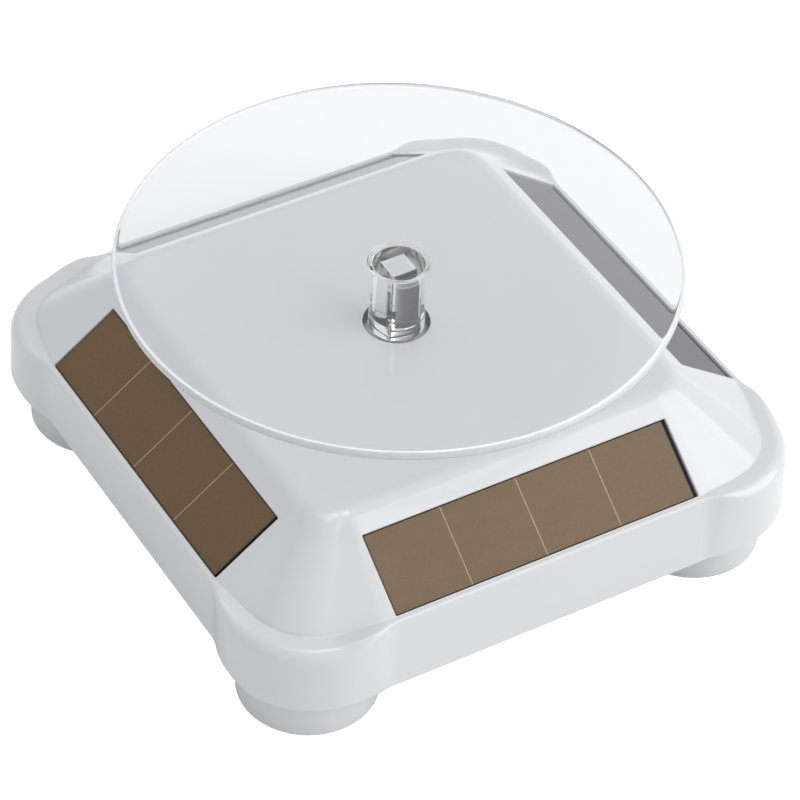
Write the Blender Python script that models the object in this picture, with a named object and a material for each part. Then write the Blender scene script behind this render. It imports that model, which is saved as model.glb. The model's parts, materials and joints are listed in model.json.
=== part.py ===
"""Solar turntable display stand: a white moulded base with four sloping solar panels, a geared motor
drive and a clear display disc on a clear hub. Sizes are in millimetres and go into the scene in metres.
+Z is up and the origin is on the spin axis at the level of the feet. The panels face -Y (front),
+X (right), +Y (back) and -X (left)."""

import math

import bmesh
import bpy
import numpy as np
from mathutils import Matrix

MM = 0.001

# ---- base ---------------------------------------------------------------------------------------
WALL = 53.2            # half width across the flat side walls
LOBE_C = 38.26         # centre of each round corner lobe, in x and in y
LOBE_R = 16.4          # radius of a corner lobe
BLEND_R = 9.0          # hollow fillet where a lobe meets a side wall
SKIN = 2.0             # wall thickness of the shell
Z_BOTTOM = 9.9         # lower edge of the shell
FLARE = 0.45           # how far the lower edge stands out all round
LEAN_SIDE = -0.75      # added to the flare on the left and right walls
LEAN_FRONT = 1.07      # added to the flare on the front and back walls
SIDE_FADE = (4.0, 14.0)    # |x| - |y| where the left and right lean starts, and its fade length
FRONT_FADE = (17.0, 7.5)   # |y| - |x| where the front and back lean starts, and its fade length
Z_LEDGE = 22.4         # flat ledge on top of a lobe
Z_SLOPE = 23.6         # lower edge of the sloping sides
Z_TOP = 34.8           # flat top of the base
EDGE_SIDE = 0.9        # rounding of the upper edge of the side walls
EDGE_LOBE = 2.6        # rounding of the upper edge of the lobes
SLOPE_HALF = 52.2      # half width at the lower edge of the slopes
SLOPE_STRAIGHT = 30.0  # half length of the straight part of that edge
SLOPE_BEND_Y = 31.9    # control point of the curve from the straight part to the corner cone
CONE_R = 11.5          # radius of the round corner cone where it meets the ledge
TOP_HALF = 36.5        # half width at the upper edge of the slopes
TOP_STRAIGHT = 29.5    # half length of the first straight part of the top outline
TOP_CORNER_R = 4.0
SLOPE_ANGLE = math.atan2(Z_TOP - Z_SLOPE, SLOPE_HALF - TOP_HALF)   # 35.5 degrees
HUB_HOLE_R = 5.77
POST_R = 3.2           # posts for the case screws
POST_BOTTOM = 12.8
POST_SLANT = 0.79      # fall of a post's top per mm outwards along the diagonal
POST_SLANT_START = 65.6    # distance from the axis where the slant is level with the ledge
POST_SINK = 1.1        # how far the post's top lies below that slant

# ---- solar panels: (low, high) along the slope, up the slope and in depth below its surface ------
WINDOW_HALF = 30.0
WINDOW_UP = (0.17, 14.73)
RECESS_DEPTH = 1.55    # depth of the recess a panel sits in
FACE_DEPTH = 0.35      # depth of a panel's face
PANEL_T = 0.8
TAPE_T = 0.3
TAPE_GAP = 0.05        # between tape and recess floor
PANEL_ALONG = (-29.85, 29.3)
PANEL_UP = (0.32, 14.58)
OPENING_HALF = 27.5    # opening behind a panel, for its leads
OPENING_UP = (2.6, 12.3)
SIDES = ("front", "right", "back", "left")   # in quarter turns from -Y

# ---- feet and bottom cover ----------------------------------------------------------------------
FOOT_C = 39.0
FOOT_R = 12.4
CORNERS = [(sx * FOOT_C, sy * FOOT_C) for sx in (-1, 1) for sy in (-1, 1)]
COVER_Z = (10.4, 12.4)
ROOT_Z = sum(COVER_Z) / 2   # parts that stand on the cover start in the middle of its thickness
SCREW_SEAT_Z = 8.2
SCREW_GAP = 0.05       # between a screw head and its seat

# ---- gear train ---------------------------------------------------------------------------------
MODULE = 0.5
TEETH_BIG, TEETH_SMALL = 52, 12
PRESSURE = math.radians(25)
BACKLASH = 0.07        # taken off the thickness of every tooth
CENTRES = MODULE * (TEETH_BIG + TEETH_SMALL) / 2        # 16 mm
DIR_1, DIR_2, DIR_MOTOR = math.radians(165), math.radians(50), math.radians(35)


def polar(centre, radius, angle):
    return (centre[0] + radius * math.cos(angle), centre[1] + radius * math.sin(angle))


OUTPUT = (0.0, 0.0)
AXLE_1 = polar(OUTPUT, CENTRES, DIR_1)
AXLE_2 = polar(AXLE_1, CENTRES, DIR_2)
MOTOR = polar(AXLE_2, CENTRES, DIR_MOTOR)
PILLARS = ((-32.0, 4.0), (16.0, -7.5), (-12.0, 33.2))
PLATE_Z = (29.4, 30.8)

# ---- disc and hub -------------------------------------------------------------------------------
DISC_R = 49.5
DISC_Z = (48.4, 50.4)
SQUARE = 3.6           # drive square on the output shaft
SOCKET = 4.7           # the hub drops loosely over it

# ---- circuit board and switch -------------------------------------------------------------------
BOARD_POSTS = ((22.5, -9.0), (37.0, 6.5))
BOARD_Z = (17.0, 18.2)
SWITCH_X, SWITCH_Y = 30.0, -2.0

# ---- battery bay --------------------------------------------------------------------------------
CELL_Y, CELL_Z = -24.0, 19.3
BAY_X, BAY_Y, BAY_TOP = (-29.2, 28.4), (-31.6, -16.4), 27.0
DOOR_X, DOOR_Y = (-27.1, 27.1), (-31.4, -16.9)
HINGE_Y, HINGE_Z = -30.75, 11.35

# Sharpest angle that is shaded smooth, in degrees.
SMOOTH_ANGLE, MOULDING_ANGLE, SCREW_ANGLE = 35, 32, 25

for old in list(bpy.data.objects):
    bpy.data.objects.remove(old)


# ---- materials ----------------------------------------------------------------------------------
def material(name, colour, roughness, metallic=0.0, alpha=1.0):
    m = bpy.data.materials.get(name) or bpy.data.materials.new(name)
    m.use_nodes = True
    shader = m.node_tree.nodes["Principled BSDF"].inputs
    shader["Base Color"].default_value = (*colour, 1)
    shader["Roughness"].default_value = roughness
    shader["Metallic"].default_value = metallic
    shader["Alpha"].default_value = alpha
    if alpha < 1:
        shader["Transmission Weight"].default_value = 1.0
    return m


WHITE = material("white_abs", colour=(0.80, 0.81, 0.83), roughness=0.25)
CLEAR = material("clear_acrylic", colour=(0.95, 0.96, 0.97), roughness=0.03, alpha=0.3)
SOLAR = material("solar_glass", colour=(0.14, 0.10, 0.065), roughness=0.12)
FOAM = material("black_foam", colour=(0.02, 0.02, 0.02), roughness=0.8)
POM = material("white_pom", colour=(0.85, 0.84, 0.80), roughness=0.4)
IVORY = material("ivory_pom", colour=(0.75, 0.70, 0.58), roughness=0.4)
BLACK = material("black_abs", colour=(0.03, 0.03, 0.03), roughness=0.5)
STEEL = material("steel", colour=(0.62, 0.62, 0.62), roughness=0.3, metallic=1.0)
BRASS = material("brass", colour=(0.75, 0.55, 0.25), roughness=0.3, metallic=1.0)
GREEN = material("green_board", colour=(0.04, 0.22, 0.10), roughness=0.5)
RED_WIRE = material("red_wire", colour=(0.55, 0.03, 0.02), roughness=0.5)
BLACK_WIRE = material("black_wire", colour=(0.02, 0.02, 0.02), roughness=0.5)
SLEEVE = material("cell_sleeve", colour=(0.10, 0.22, 0.42), roughness=0.35)


# ---- modelling kit ------------------------------------------------------------------------------
def shade(mesh, angle=SMOOTH_ANGLE):
    mesh.shade_smooth()
    mesh.set_sharp_from_angle(angle=math.radians(angle))


def make(name, verts, faces, mat=None, smooth=False):
    """One object from points in millimetres, with its normals turned outwards."""
    mesh = bpy.data.meshes.new(name)
    mesh.from_pydata([tuple(c * MM for c in p) for p in verts], [], [tuple(f) for f in faces])
    mesh.validate()
    b = bmesh.new()
    b.from_mesh(mesh)
    bmesh.ops.recalc_face_normals(b, faces=b.faces[:])
    b.to_mesh(mesh)
    b.free()
    obj = bpy.data.objects.new(name, mesh)
    bpy.context.scene.collection.objects.link(obj)
    if mat:
        mesh.materials.append(mat)
    if smooth:
        shade(mesh)
    return obj


def loft(rings, capped=True):
    """Points and faces of a skin over closed rings that all have the same number of points."""
    n = len(rings[0])
    verts = [tuple(p) for ring in rings for p in ring]
    faces = []
    for i in range(len(rings) - 1):
        for j in range(n):
            k = (j + 1) % n
            faces.append((i * n + j, i * n + k, (i + 1) * n + k, (i + 1) * n + j))
    if capped:
        faces.append(tuple(reversed(range(n))))
        faces.append(tuple((len(rings) - 1) * n + j for j in range(n)))
    return verts, faces


def circle(centre, radius, z, n):
    return [(*polar(centre, radius, 2 * math.pi * k / n), z) for k in range(n)]


def turned(name, centre, profile, n=32, mat=None):
    """A turned solid on a vertical axis. profile is a list of (radius, z)."""
    verts, faces = loft([circle(centre, r, z, n) for r, z in profile])
    return make(name, verts, faces, mat, smooth=True)


def rod(name, centre, radius, z, n=32):
    """A plain cylinder from z[0] to z[1]."""
    return turned(name, centre, [(radius, z[0]), (radius, z[1])], n)


def turned_x(name, y, z, profile, n, mat=None):
    """A turned solid on an axis along X. profile is a list of (radius, x)."""
    rings = [[(x, *polar((y, z), r, 2 * math.pi * k / n)) for k in range(n)] for r, x in profile]
    verts, faces = loft(rings)
    return make(name, verts, faces, mat, smooth=True)


def prism(name, outline, z):
    verts, faces = loft([[(x, y, level) for x, y in outline] for level in z])
    return make(name, verts, faces)


def box(name, x, y, z):
    """A block. x, y and z are (low, high)."""
    return prism(name, [(x[0], y[0]), (x[1], y[0]), (x[1], y[1]), (x[0], y[1])], z)


def span(middle, half):
    return (middle - half, middle + half)


def widen(limits, margin):
    return (limits[0] - margin, limits[1] + margin)


def combine(obj, other, operation):
    """Joins or cuts with the exact solver, keeps the result in obj and removes the other shape."""
    m = obj.modifiers.new("shape", "BOOLEAN")
    m.operation = operation
    m.object = other
    m.solver = "EXACT"
    bpy.context.view_layer.update()
    graph = bpy.context.evaluated_depsgraph_get()
    mesh = bpy.data.meshes.new_from_object(obj.evaluated_get(graph))
    obj.modifiers.clear()
    obj.data = mesh
    bpy.data.objects.remove(other)


def add(obj, other):
    combine(obj, other, "UNION")


def cut(obj, other):
    combine(obj, other, "DIFFERENCE")


def finish(obj, mat, angle=SMOOTH_ANGLE):
    """Gives the whole object one material and smooth shading up to the angle."""
    obj.data.materials.clear()
    obj.data.materials.append(mat)
    for p in obj.data.polygons:
        p.material_index = 0
    shade(obj.data, angle)


def set_origin(obj, x, y, z=0.0):
    """Puts the object's origin at a point without moving its surface."""
    obj.data.transform(Matrix.Translation((-x * MM, -y * MM, -z * MM)))
    obj.location = (x * MM, y * MM, z * MM)


def rotated(points, quarter):
    """Turns points about the spin axis by whole quarter turns."""
    c, s = [(1, 0), (0, 1), (-1, 0), (0, -1)][quarter % 4]
    return [(c * x - s * y, s * x + c * y, z) for x, y, z in points]


# ---- outline of the base ------------------------------------------------------------------------
# An eighth of the outline has a flat side, a blend, a low arc up to ARC_SPLIT and a high arc up to
# the diagonal. Each part has its number of steps.
PARTS = (("side", 1), ("blend", 2), ("low", 3), ("high", 2))
ARC_SPLIT = math.radians(17)
ARC_END = math.pi / 4
BLEND_X = WALL + BLEND_R   # centre of the hollow fillet
BLEND_Y = LOBE_C - math.sqrt((LOBE_R + BLEND_R) ** 2 - (BLEND_X - LOBE_C) ** 2)
ARC_START = -math.atan2(LOBE_C - BLEND_Y, BLEND_X - LOBE_C)
BLEND_SHARE = 0.35         # share of the blend in the blend and low arc together


def smooth_step(t):
    t = min(1.0, max(0.0, t))
    return t * t * (3 - 2 * t)


def lobe_share(part, t):
    """0 along the flat side, 1 around a corner lobe."""
    return {"side": 0.0, "blend": 0.0, "low": smooth_step(t), "high": 1.0}[part]


def mix(side, lobe, share):
    return side + (lobe - side) * share


def bend_share(part, t):
    """Runs from 0 to 1 over the blend and the low arc."""
    return BLEND_SHARE * t if part == "blend" else BLEND_SHARE + (1 - BLEND_SHARE) * t


def high_angle(t):
    return ARC_SPLIT + (ARC_END - ARC_SPLIT) * t


def wall_point(part, t, inset):
    """Outline of side walls and lobes, moved inwards by inset."""
    if part == "side":
        return WALL - inset, BLEND_Y * t
    if part == "blend":
        return polar((BLEND_X, BLEND_Y), BLEND_R + inset, math.pi + ARC_START * t)
    angle = ARC_START + (ARC_SPLIT - ARC_START) * t if part == "low" else high_angle(t)
    return polar((LOBE_C, LOBE_C), LOBE_R - inset, angle)


def slope_point(part, t, inset):
    """Lower edge of the slopes, which turns into the cone round each corner."""
    if part == "side":
        return SLOPE_HALF - inset, SLOPE_STRAIGHT * t
    if part == "high":
        return polar((LOBE_C, LOBE_C), CONE_R - inset, high_angle(t))
    start, bend = (SLOPE_HALF, SLOPE_STRAIGHT), (SLOPE_HALF, SLOPE_BEND_Y)
    end = polar((LOBE_C, LOBE_C), CONE_R, ARC_SPLIT)
    u = bend_share(part, t)
    x, y = ((1 - u) ** 2 * a + 2 * u * (1 - u) * b + u * u * c for a, b, c in zip(start, bend, end))
    tx, ty = (2 * (1 - u) * (b - a) + 2 * u * (c - b) for a, b, c in zip(start, bend, end))
    length = math.hypot(tx, ty)
    return x - inset * ty / length, y + inset * tx / length


def top_point(part, t, half, corner):
    """Square outline with rounded corners."""
    centre = half - corner
    if part == "side":
        return half, TOP_STRAIGHT * t
    if part == "high":
        return polar((centre, centre), corner, ARC_END * t)
    return half, TOP_STRAIGHT + (centre - TOP_STRAIGHT) * bend_share(part, t)


def full_ring(point):
    """Repeats one eighth, given by point(part, t) -> (x, y, z), round the whole base."""
    eighth = [point(part, k / steps) for part, steps in PARTS for k in range(steps)]
    eighth.append(point("high", 1.0))
    quadrant = eighth + [(y, x, z) for x, y, z in reversed(eighth[1:-1])]
    return [p for quarter in range(4) for p in rotated(quadrant, quarter)]


def wall_ring(inset, z, lobe_inset=None, lobe_z=None):
    """inset and z change to lobe_inset and lobe_z round the lobes, where those are given."""
    lobe_inset = inset if lobe_inset is None else lobe_inset
    lobe_z = z if lobe_z is None else lobe_z

    def point(part, t):
        share = lobe_share(part, t)
        return (*wall_point(part, t, mix(inset, lobe_inset, share)), mix(z, lobe_z, share))

    return full_ring(point)


def slope_ring(inset, z_side, z_lobe):
    return full_ring(
        lambda part, t: (*slope_point(part, t, inset), mix(z_side, z_lobe, lobe_share(part, t)))
    )


def top_ring(half, corner, z):
    return full_ring(lambda part, t: (*top_point(part, t, half, corner), z))


def lean(ring, side, front):
    """Moves the left and right walls out by side and the front and back walls by front, fading out
    towards the corners."""
    out = []
    for x, y, z in ring:
        d = abs(x) - abs(y)
        if d > 0:
            x += math.copysign(1, x) * side * smooth_step((d - SIDE_FADE[0]) / SIDE_FADE[1])
        else:
            y += math.copysign(1, y) * front * smooth_step((-d - FRONT_FADE[0]) / FRONT_FADE[1])
        out.append((x, y, z))
    return out


# ---- upper housing and solar panels -------------------------------------------------------------
def slope_to_world(along, up, depth, quarter):
    """A point on a slope. The quarter is an index into SIDES."""
    c, s = math.cos(SLOPE_ANGLE), math.sin(SLOPE_ANGLE)
    point = (along, -SLOPE_HALF + up * c + depth * s, Z_SLOPE + up * s - depth * c)
    return rotated([point], quarter)[0]


def slope_box(name, along, up, depth, quarter, mat=None):
    """A rectangular block lying in the slope. along, up and depth are (low, high)."""
    corners = ((along[0], up[0]), (along[1], up[0]), (along[1], up[1]), (along[0], up[1]))
    rings = [[slope_to_world(a, u, d, quarter) for a, u in corners] for d in reversed(depth)]
    verts, faces = loft(rings)
    return make(name, verts, faces, mat)


def housing_shell():
    """The hollow shell, open at the bottom, with a flat roof."""
    outer = [
        lean(wall_ring(0.25 - FLARE, Z_BOTTOM), LEAN_SIDE, LEAN_FRONT),
        lean(wall_ring(-FLARE, Z_BOTTOM + 0.3), LEAN_SIDE, LEAN_FRONT),
    ]
    for degrees in (0, 45, 90):   # rounded upper edge of walls and lobes
        inward = 1 - math.cos(math.radians(degrees))
        down = 1 - math.sin(math.radians(degrees))
        outer.append(wall_ring(EDGE_SIDE * inward, Z_SLOPE - EDGE_SIDE * down,
                               EDGE_LOBE * inward, Z_LEDGE - EDGE_LOBE * down))
    outer += [
        slope_ring(0.0, Z_SLOPE, Z_LEDGE),
        top_ring(TOP_HALF + 1.3, TOP_CORNER_R + 0.9, Z_TOP - 1.3 * math.tan(SLOPE_ANGLE)),
        top_ring(TOP_HALF - 0.2, TOP_CORNER_R, Z_TOP - 0.27),
        top_ring(TOP_HALF - 1.6, TOP_CORNER_R - 0.9, Z_TOP),
    ]
    inner = [
        top_ring(35.0, 2.9, Z_TOP - SKIN),
        slope_ring(1.5, 21.7, 20.2),
        wall_ring(SKIN, 21.4, lobe_z=20.1),
        lean(wall_ring(SKIN - FLARE, Z_BOTTOM), LEAN_SIDE, LEAN_FRONT),
    ]
    verts, faces = loft(outer + inner, capped=False)
    n = len(outer[0])
    roof = len(outer)
    top, last = roof - 1, roof + len(inner) - 1
    # Drop the band between the outside top and the inside roof, and close both with flat faces.
    faces = [face for i, face in enumerate(faces) if not top * n <= i < roof * n]
    faces.append(tuple(top * n + j for j in range(n)))
    faces.append(tuple(roof * n + j for j in reversed(range(n))))
    # The rim joins the innermost ring to the outermost one.
    faces += [(last * n + j, last * n + (j + 1) % n, (j + 1) % n, j) for j in range(n)]
    shell = make("upper_housing", verts, faces)
    b = bmesh.new()
    b.from_mesh(shell.data)
    bmesh.ops.triangulate(b, faces=[face for face in b.faces if len(face.verts) == 4])
    b.to_mesh(shell.data)
    b.free()
    return shell


def case_post(centre):
    """A post for a case screw. Its slanted top ends inside the corner of the roof."""
    base = circle(centre, POST_R, POST_BOTTOM, 12)
    top = []
    for x, y, _ in base:
        outwards = (abs(x) + abs(y)) / math.sqrt(2)
        top.append((x, y, Z_LEDGE + (POST_SLANT_START - outwards) * POST_SLANT - POST_SINK))
    verts, faces = loft([base, top])
    return make("post", verts, faces)


def upper_housing():
    shell = housing_shell()
    for centre in CORNERS:
        add(shell, case_post(centre))
    # collar that stiffens the edge of the hub hole
    add(shell, rod("collar", OUTPUT, 7.6, (31.9, 33.6)))
    recess, opening = span(0, WINDOW_HALF), span(0, OPENING_HALF)
    for quarter in range(4):
        cut(shell, slope_box("recess", recess, WINDOW_UP, (-3.0, RECESS_DEPTH), quarter))
        cut(shell, slope_box("opening", opening, OPENING_UP, (1.0, 5.0), quarter))
    cut(shell, rod("hub_hole", OUTPUT, HUB_HOLE_R, (30, 40)))
    for centre in CORNERS:
        cut(shell, rod("pilot", centre, 1.45, (10, 24), 10))
    finish(shell, WHITE, MOULDING_ANGLE)


def solar_panel(side, quarter):
    """A panel and the frame of foam tape that holds it above the floor of its recess."""
    depth = (FACE_DEPTH, FACE_DEPTH + PANEL_T)
    slope_box(f"solar_panel_{side}", PANEL_ALONG, PANEL_UP, depth, quarter, SOLAR)
    depth = (RECESS_DEPTH - TAPE_T - TAPE_GAP, RECESS_DEPTH - TAPE_GAP)
    along, up = widen(PANEL_ALONG, -0.3), widen(PANEL_UP, -0.2)
    tape = slope_box(f"panel_tape_{side}", along, up, depth, quarter)
    along, up = span(0, OPENING_HALF + 0.1), widen(OPENING_UP, 0.1)
    cut(tape, slope_box("opening", along, up, (-1, 3), quarter))
    finish(tape, FOAM)


# ---- bottom cover -------------------------------------------------------------------------------
def hollow_foot(cover, centre):
    """Leaves the foot as a ring with a boss in its middle that holds the screw head."""
    cup = rod("cup", centre, 9.8, (-1, 8.4), 24)
    cut(cup, turned("core", centre, [(5.2, -2), (4.8, 9)], 16))
    cut(cover, cup)
    cut(cover, rod("screw_seat", centre, 3.4, (-1, SCREW_SEAT_Z), 14))
    # the boss starts above the ground
    cut(cover, rod("boss_end", centre, 6.0, (-1, 3.0), 16))
    cut(cover, rod("screw_hole", centre, 1.7, (5, 14), 10))


def raise_cover_parts(cover):
    """Everything that stands on the cover or hangs below it."""
    for centre in CORNERS:
        add(cover, turned("foot", centre, [(FOOT_R - 0.5, 0), (FOOT_R, 0.6), (FOOT_R, ROOT_Z)]))
    # battery bay: an inverted tub
    add(cover, box("tub", widen(BAY_X, 1.2), widen(BAY_Y, 1.0), (ROOT_Z, BAY_TOP + 1.2)))
    # bearing boss of the output shaft and bosses of the two gear axles
    add(cover, rod("boss", OUTPUT, 4.0, (ROOT_Z, 16.0), 20))
    for centre in (AXLE_1, AXLE_2):
        add(cover, rod("boss", centre, 2.6, (ROOT_Z, 15.8), 14))
    # ring that locates the motor
    add(cover, rod("motor_ring", MOTOR, 13.4, (ROOT_Z, 17.0)))
    for centre in PILLARS:
        add(cover, turned("pillar", centre, [(2.9, ROOT_Z), (2.5, 29.3)], 12))
    for centre in BOARD_POSTS:
        add(cover, turned("board_post", centre, [(2.2, ROOT_Z), (2.0, 16.9)], 10))


def cut_battery_bay(cover):
    cut(cover, box("bay", BAY_X, BAY_Y, (13.6, BAY_TOP)))
    opening_y = (DOOR_Y[0] - 0.6, DOOR_Y[1] + 0.3)
    cut(cover, box("door_opening", widen(DOOR_X, 0.3), opening_y, (9, 15)))
    # finger notch beside the latch
    cut(cover, rod("finger_notch", (0, DOOR_Y[1] + 1.6), 4.2, (9, 11.2), 20))
    # sockets for the hinge pins of the door
    for x in ((-29.0, -27.0), (27.0, 29.0)):
        cut(cover, turned_x("socket", HINGE_Y, HINGE_Z, [(0.68, x[0]), (0.68, x[1])], 16))


def bottom_cover():
    ring = wall_ring(SKIN + 0.3 - 0.8 * FLARE, 0)
    ring = lean(ring, 0.97 * LEAN_SIDE, 0.77 * LEAN_FRONT)
    cover = prism("bottom_cover", [(x, y) for x, y, _ in ring], COVER_Z)
    raise_cover_parts(cover)
    for centre in CORNERS:
        hollow_foot(cover, centre)
    cut_battery_bay(cover)
    cut(cover, rod("bore", OUTPUT, 2.07, (13.0, 18), 24))
    for centre in (AXLE_1, AXLE_2):
        cut(cover, rod("bore", centre, 1.05, (13.0, 18), 16))
    cut(cover, rod("motor_well", MOTOR, 12.4, (12.4, 19)))
    lead_slot_x, lead_slot_y = (MOTOR[0] + 8, MOTOR[0] + 15), (MOTOR[1] - 9, MOTOR[1] - 3)
    cut(cover, box("motor_lead_slot", lead_slot_x, lead_slot_y, (12.45, 19)))
    for centre in PILLARS:
        cut(cover, rod("pillar_hole", centre, 1.0, (23, 31), 10))
    for centre in BOARD_POSTS:
        cut(cover, rod("post_hole", centre, 0.9, (13, 18), 10))
    cut(cover, box("switch_slot", span(SWITCH_X, 2.9), span(SWITCH_Y, 1.2), (9, 13)))
    cut(cover, box("switch_recess", span(SWITCH_X, 4.6), span(SWITCH_Y, 2.4), (9, 11.1)))
    # slots through the tub's end walls for the contact tabs
    for x in ((28.0, 30.5), (-31.5, -28.8)):
        cut(cover, box("tab_slot", x, (CELL_Y + 4.0, CELL_Y + 6.6), (15.2, 18.4)))
    finish(cover, WHITE, MOULDING_ANGLE)


# ---- battery door, cell and contacts ------------------------------------------------------------
CONTACT_PLATE_Z = (14.2, 24.4)
CONTACT_TAB_Z = (15.6, 18.0)
# (radius, x) along the cell, from its flat end to its nipple
CELL_PROFILE = [
    (6.0, -23.6), (6.9, -23.4), (7.0, -23.0), (7.0, 25.2),
    (6.7, 25.7), (2.75, 25.9), (2.7, 26.8), (2.3, 26.9),
]
SPRING_TURNS, SPRING_STEPS = 3.25, 40
SPRING_X, SPRING_LENGTH = -27.98, 3.9
SPRING_R, SPRING_TAPER = 4.3, 1.9   # radius at the contact, and what it loses towards the cell


def battery_door():
    """The door with its hinge pins along the back of the front edge. Its origin is on the hinge."""
    latch_y = DOOR_Y[1]
    door = box("battery_door", DOOR_X, DOOR_Y, (10.45, 12.1))
    for x in ((-28.5, -26.6), (26.6, 28.5)):
        add(door, turned_x("pin", HINGE_Y, HINGE_Z, [(0.6, x[0]), (0.6, x[1])], 14))
    for x in (-15.0, 15.0):
        add(door, box("rib", span(x, 0.5), (DOOR_Y[0] + 2.0, latch_y - 2.2), (12.0, 12.25)))
    # latch tongue: a flexible strip freed by two slits, with a hook and a ribbed thumb pad
    for x in (-4.0, 4.0):
        cut(door, box("slit", span(x, 0.3), (latch_y - 4.0, latch_y + 1), (9, 14)))
    add(door, box("hook", span(0, 3.4), (latch_y - 1.3, latch_y - 0.15), (12.0, 13.2)))
    for k in range(3):
        y = latch_y - 3.6 + k * 0.9
        cut(door, box("grip", span(0, 3.0), (y, y + 0.4), (10, 10.75)))
    set_origin(door, 0, HINGE_Y, HINGE_Z)
    finish(door, WHITE)


def contact(name, plate_x, tab_x):
    """A contact plate across the cell's end, with a tab that leads out of the tub."""
    plate = box(name, plate_x, span(CELL_Y, 4.5), CONTACT_PLATE_Z)
    add(plate, box("tab", tab_x, (CELL_Y + 4.2, CELL_Y + 4.45), CONTACT_TAB_Z))
    return plate


def tube(name, path, radius, sides, mat):
    """A round wire along a list of points, with flat ends. Its section turns with the path and does
    not twist."""
    points = [np.array(q, float) for q in path]
    rings = []
    up = None
    for i, point in enumerate(points):
        tangent = points[min(i + 1, len(points) - 1)] - points[max(i - 1, 0)]
        tangent = tangent / np.linalg.norm(tangent)
        if up is None:
            up = np.array([0, 0, 1.0]) if abs(tangent[2]) < 0.8 else np.array([1.0, 0, 0])
        up = up - tangent * (up @ tangent)
        up = up / np.linalg.norm(up)
        side = np.cross(tangent, up)
        angles = [2 * math.pi * k / sides for k in range(sides)]
        rings.append([point + radius * (math.cos(a) * up + math.sin(a) * side) for a in angles])
    verts, faces = loft(rings)
    return make(name, verts, faces, mat, smooth=True)


def battery_spring():
    path = []
    for k in range(SPRING_STEPS + 1):
        t = k / SPRING_STEPS
        y, z = polar((CELL_Y, CELL_Z), SPRING_R - SPRING_TAPER * t, 2 * math.pi * SPRING_TURNS * t)
        path.append((SPRING_X + SPRING_LENGTH * t, y, z))
    tube("battery_spring", path, radius=0.32, sides=5, mat=STEEL)


def battery():
    turned_x("aa_cell", CELL_Y, CELL_Z, CELL_PROFILE, 24, SLEEVE)
    plus = contact("battery_contact_plus", plate_x=(27.4, 27.8), tab_x=(27.5, 31.0))
    add(plus, turned_x("dimple", CELL_Y, CELL_Z, [(1.6, 27.6), (1.5, 27.15)], 16))
    finish(plus, STEEL)
    minus = contact("battery_contact_minus", plate_x=(-28.8, -28.4), tab_x=(-32.0, -28.5))
    finish(minus, STEEL)
    battery_spring()


# ---- gears --------------------------------------------------------------------------------------
# (radius, z) up the output shaft: journal, collar under and through the wheel, neck, bearing
OUTPUT_PROFILE = [
    (1.8, 13.2), (2.0, 13.5), (2.0, 16.62), (3.6, 16.66), (3.6, 22.0), (2.1, 22.2),
    (2.1, 25.2), (3.2, 25.4), (3.2, 29.1), (3.0, 29.2), (3.0, 33.2),
]
AXLE_PROFILE = [(0.85, 13.2), (1.0, 13.4), (1.0, 30.5), (0.85, 30.7)]   # (radius, z)
SLEEVE_R = 2.0
SLEEVE_Z = (15.95, 29.2)   # lower and upper end of the sleeves on a gear axle
AXLE_BORE_R = 1.07


def involute(angle):
    return math.tan(angle) - angle


def gear_outline(centre, teeth, phase, flank_points):
    """Outline of a spur gear with a tooth at the angle phase."""
    pitch_r = MODULE * teeth / 2
    base_r = pitch_r * math.cos(PRESSURE)
    tip_r = pitch_r + 0.95 * MODULE
    root_r = pitch_r - 1.2 * MODULE
    # half tooth angle at the base circle
    half = (math.pi * MODULE / 2 - BACKLASH) / (2 * pitch_r) + involute(PRESSURE)
    start = max(base_r, root_r)
    flank = []   # (radius, angle from the middle of the tooth)
    for i in range(flank_points):
        r = start + (tip_r - start) * i / (flank_points - 1)
        flank.append((r, half - involute(math.acos(min(1.0, base_r / r)))))
    if root_r < base_r:
        flank.insert(0, (root_r, half + 0.05 * MODULE / root_r))
    points = []
    for k in range(teeth):
        middle = phase + 2 * math.pi * k / teeth
        points += [polar(centre, r, middle - a) for r, a in flank]
        points += [polar(centre, r, middle + a) for r, a in reversed(flank)]
    return points


def wheel(name, centre, direction, z):
    """A large gear with a tooth that points in the direction."""
    return prism(name, gear_outline(centre, TEETH_BIG, direction, flank_points=2), z)


def pinion(name, centre, direction, z):
    """A small gear that meshes with the wheel it was reached from in the direction."""
    phase = direction + math.pi + math.pi / TEETH_SMALL
    return prism(name, gear_outline(centre, TEETH_SMALL, phase, flank_points=4), z)


def lighten(obj, centre, orbit, start, wheel_z):
    """Five holes that lighten the web of a wheel."""
    for k in range(5):
        spot = polar(centre, orbit, start + 2 * math.pi * (k + 0.5) / 5)
        cut(obj, rod("hole", spot, 2.3, widen(wheel_z, 1), 10))


def output_gear():
    """Journal, gear and drive square in one moulding, turning on the spin axis."""
    wheel_z = (19.2, 21.2)
    shaft = turned("output_gear", OUTPUT, OUTPUT_PROFILE, 24)
    add(shaft, wheel("wheel", OUTPUT, DIR_1, wheel_z))
    add(shaft, box("square", span(0, SQUARE / 2), span(0, SQUARE / 2), (32.6, 46.4)))
    lighten(shaft, OUTPUT, 7.9, 0, wheel_z)
    finish(shaft, POM)


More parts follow.
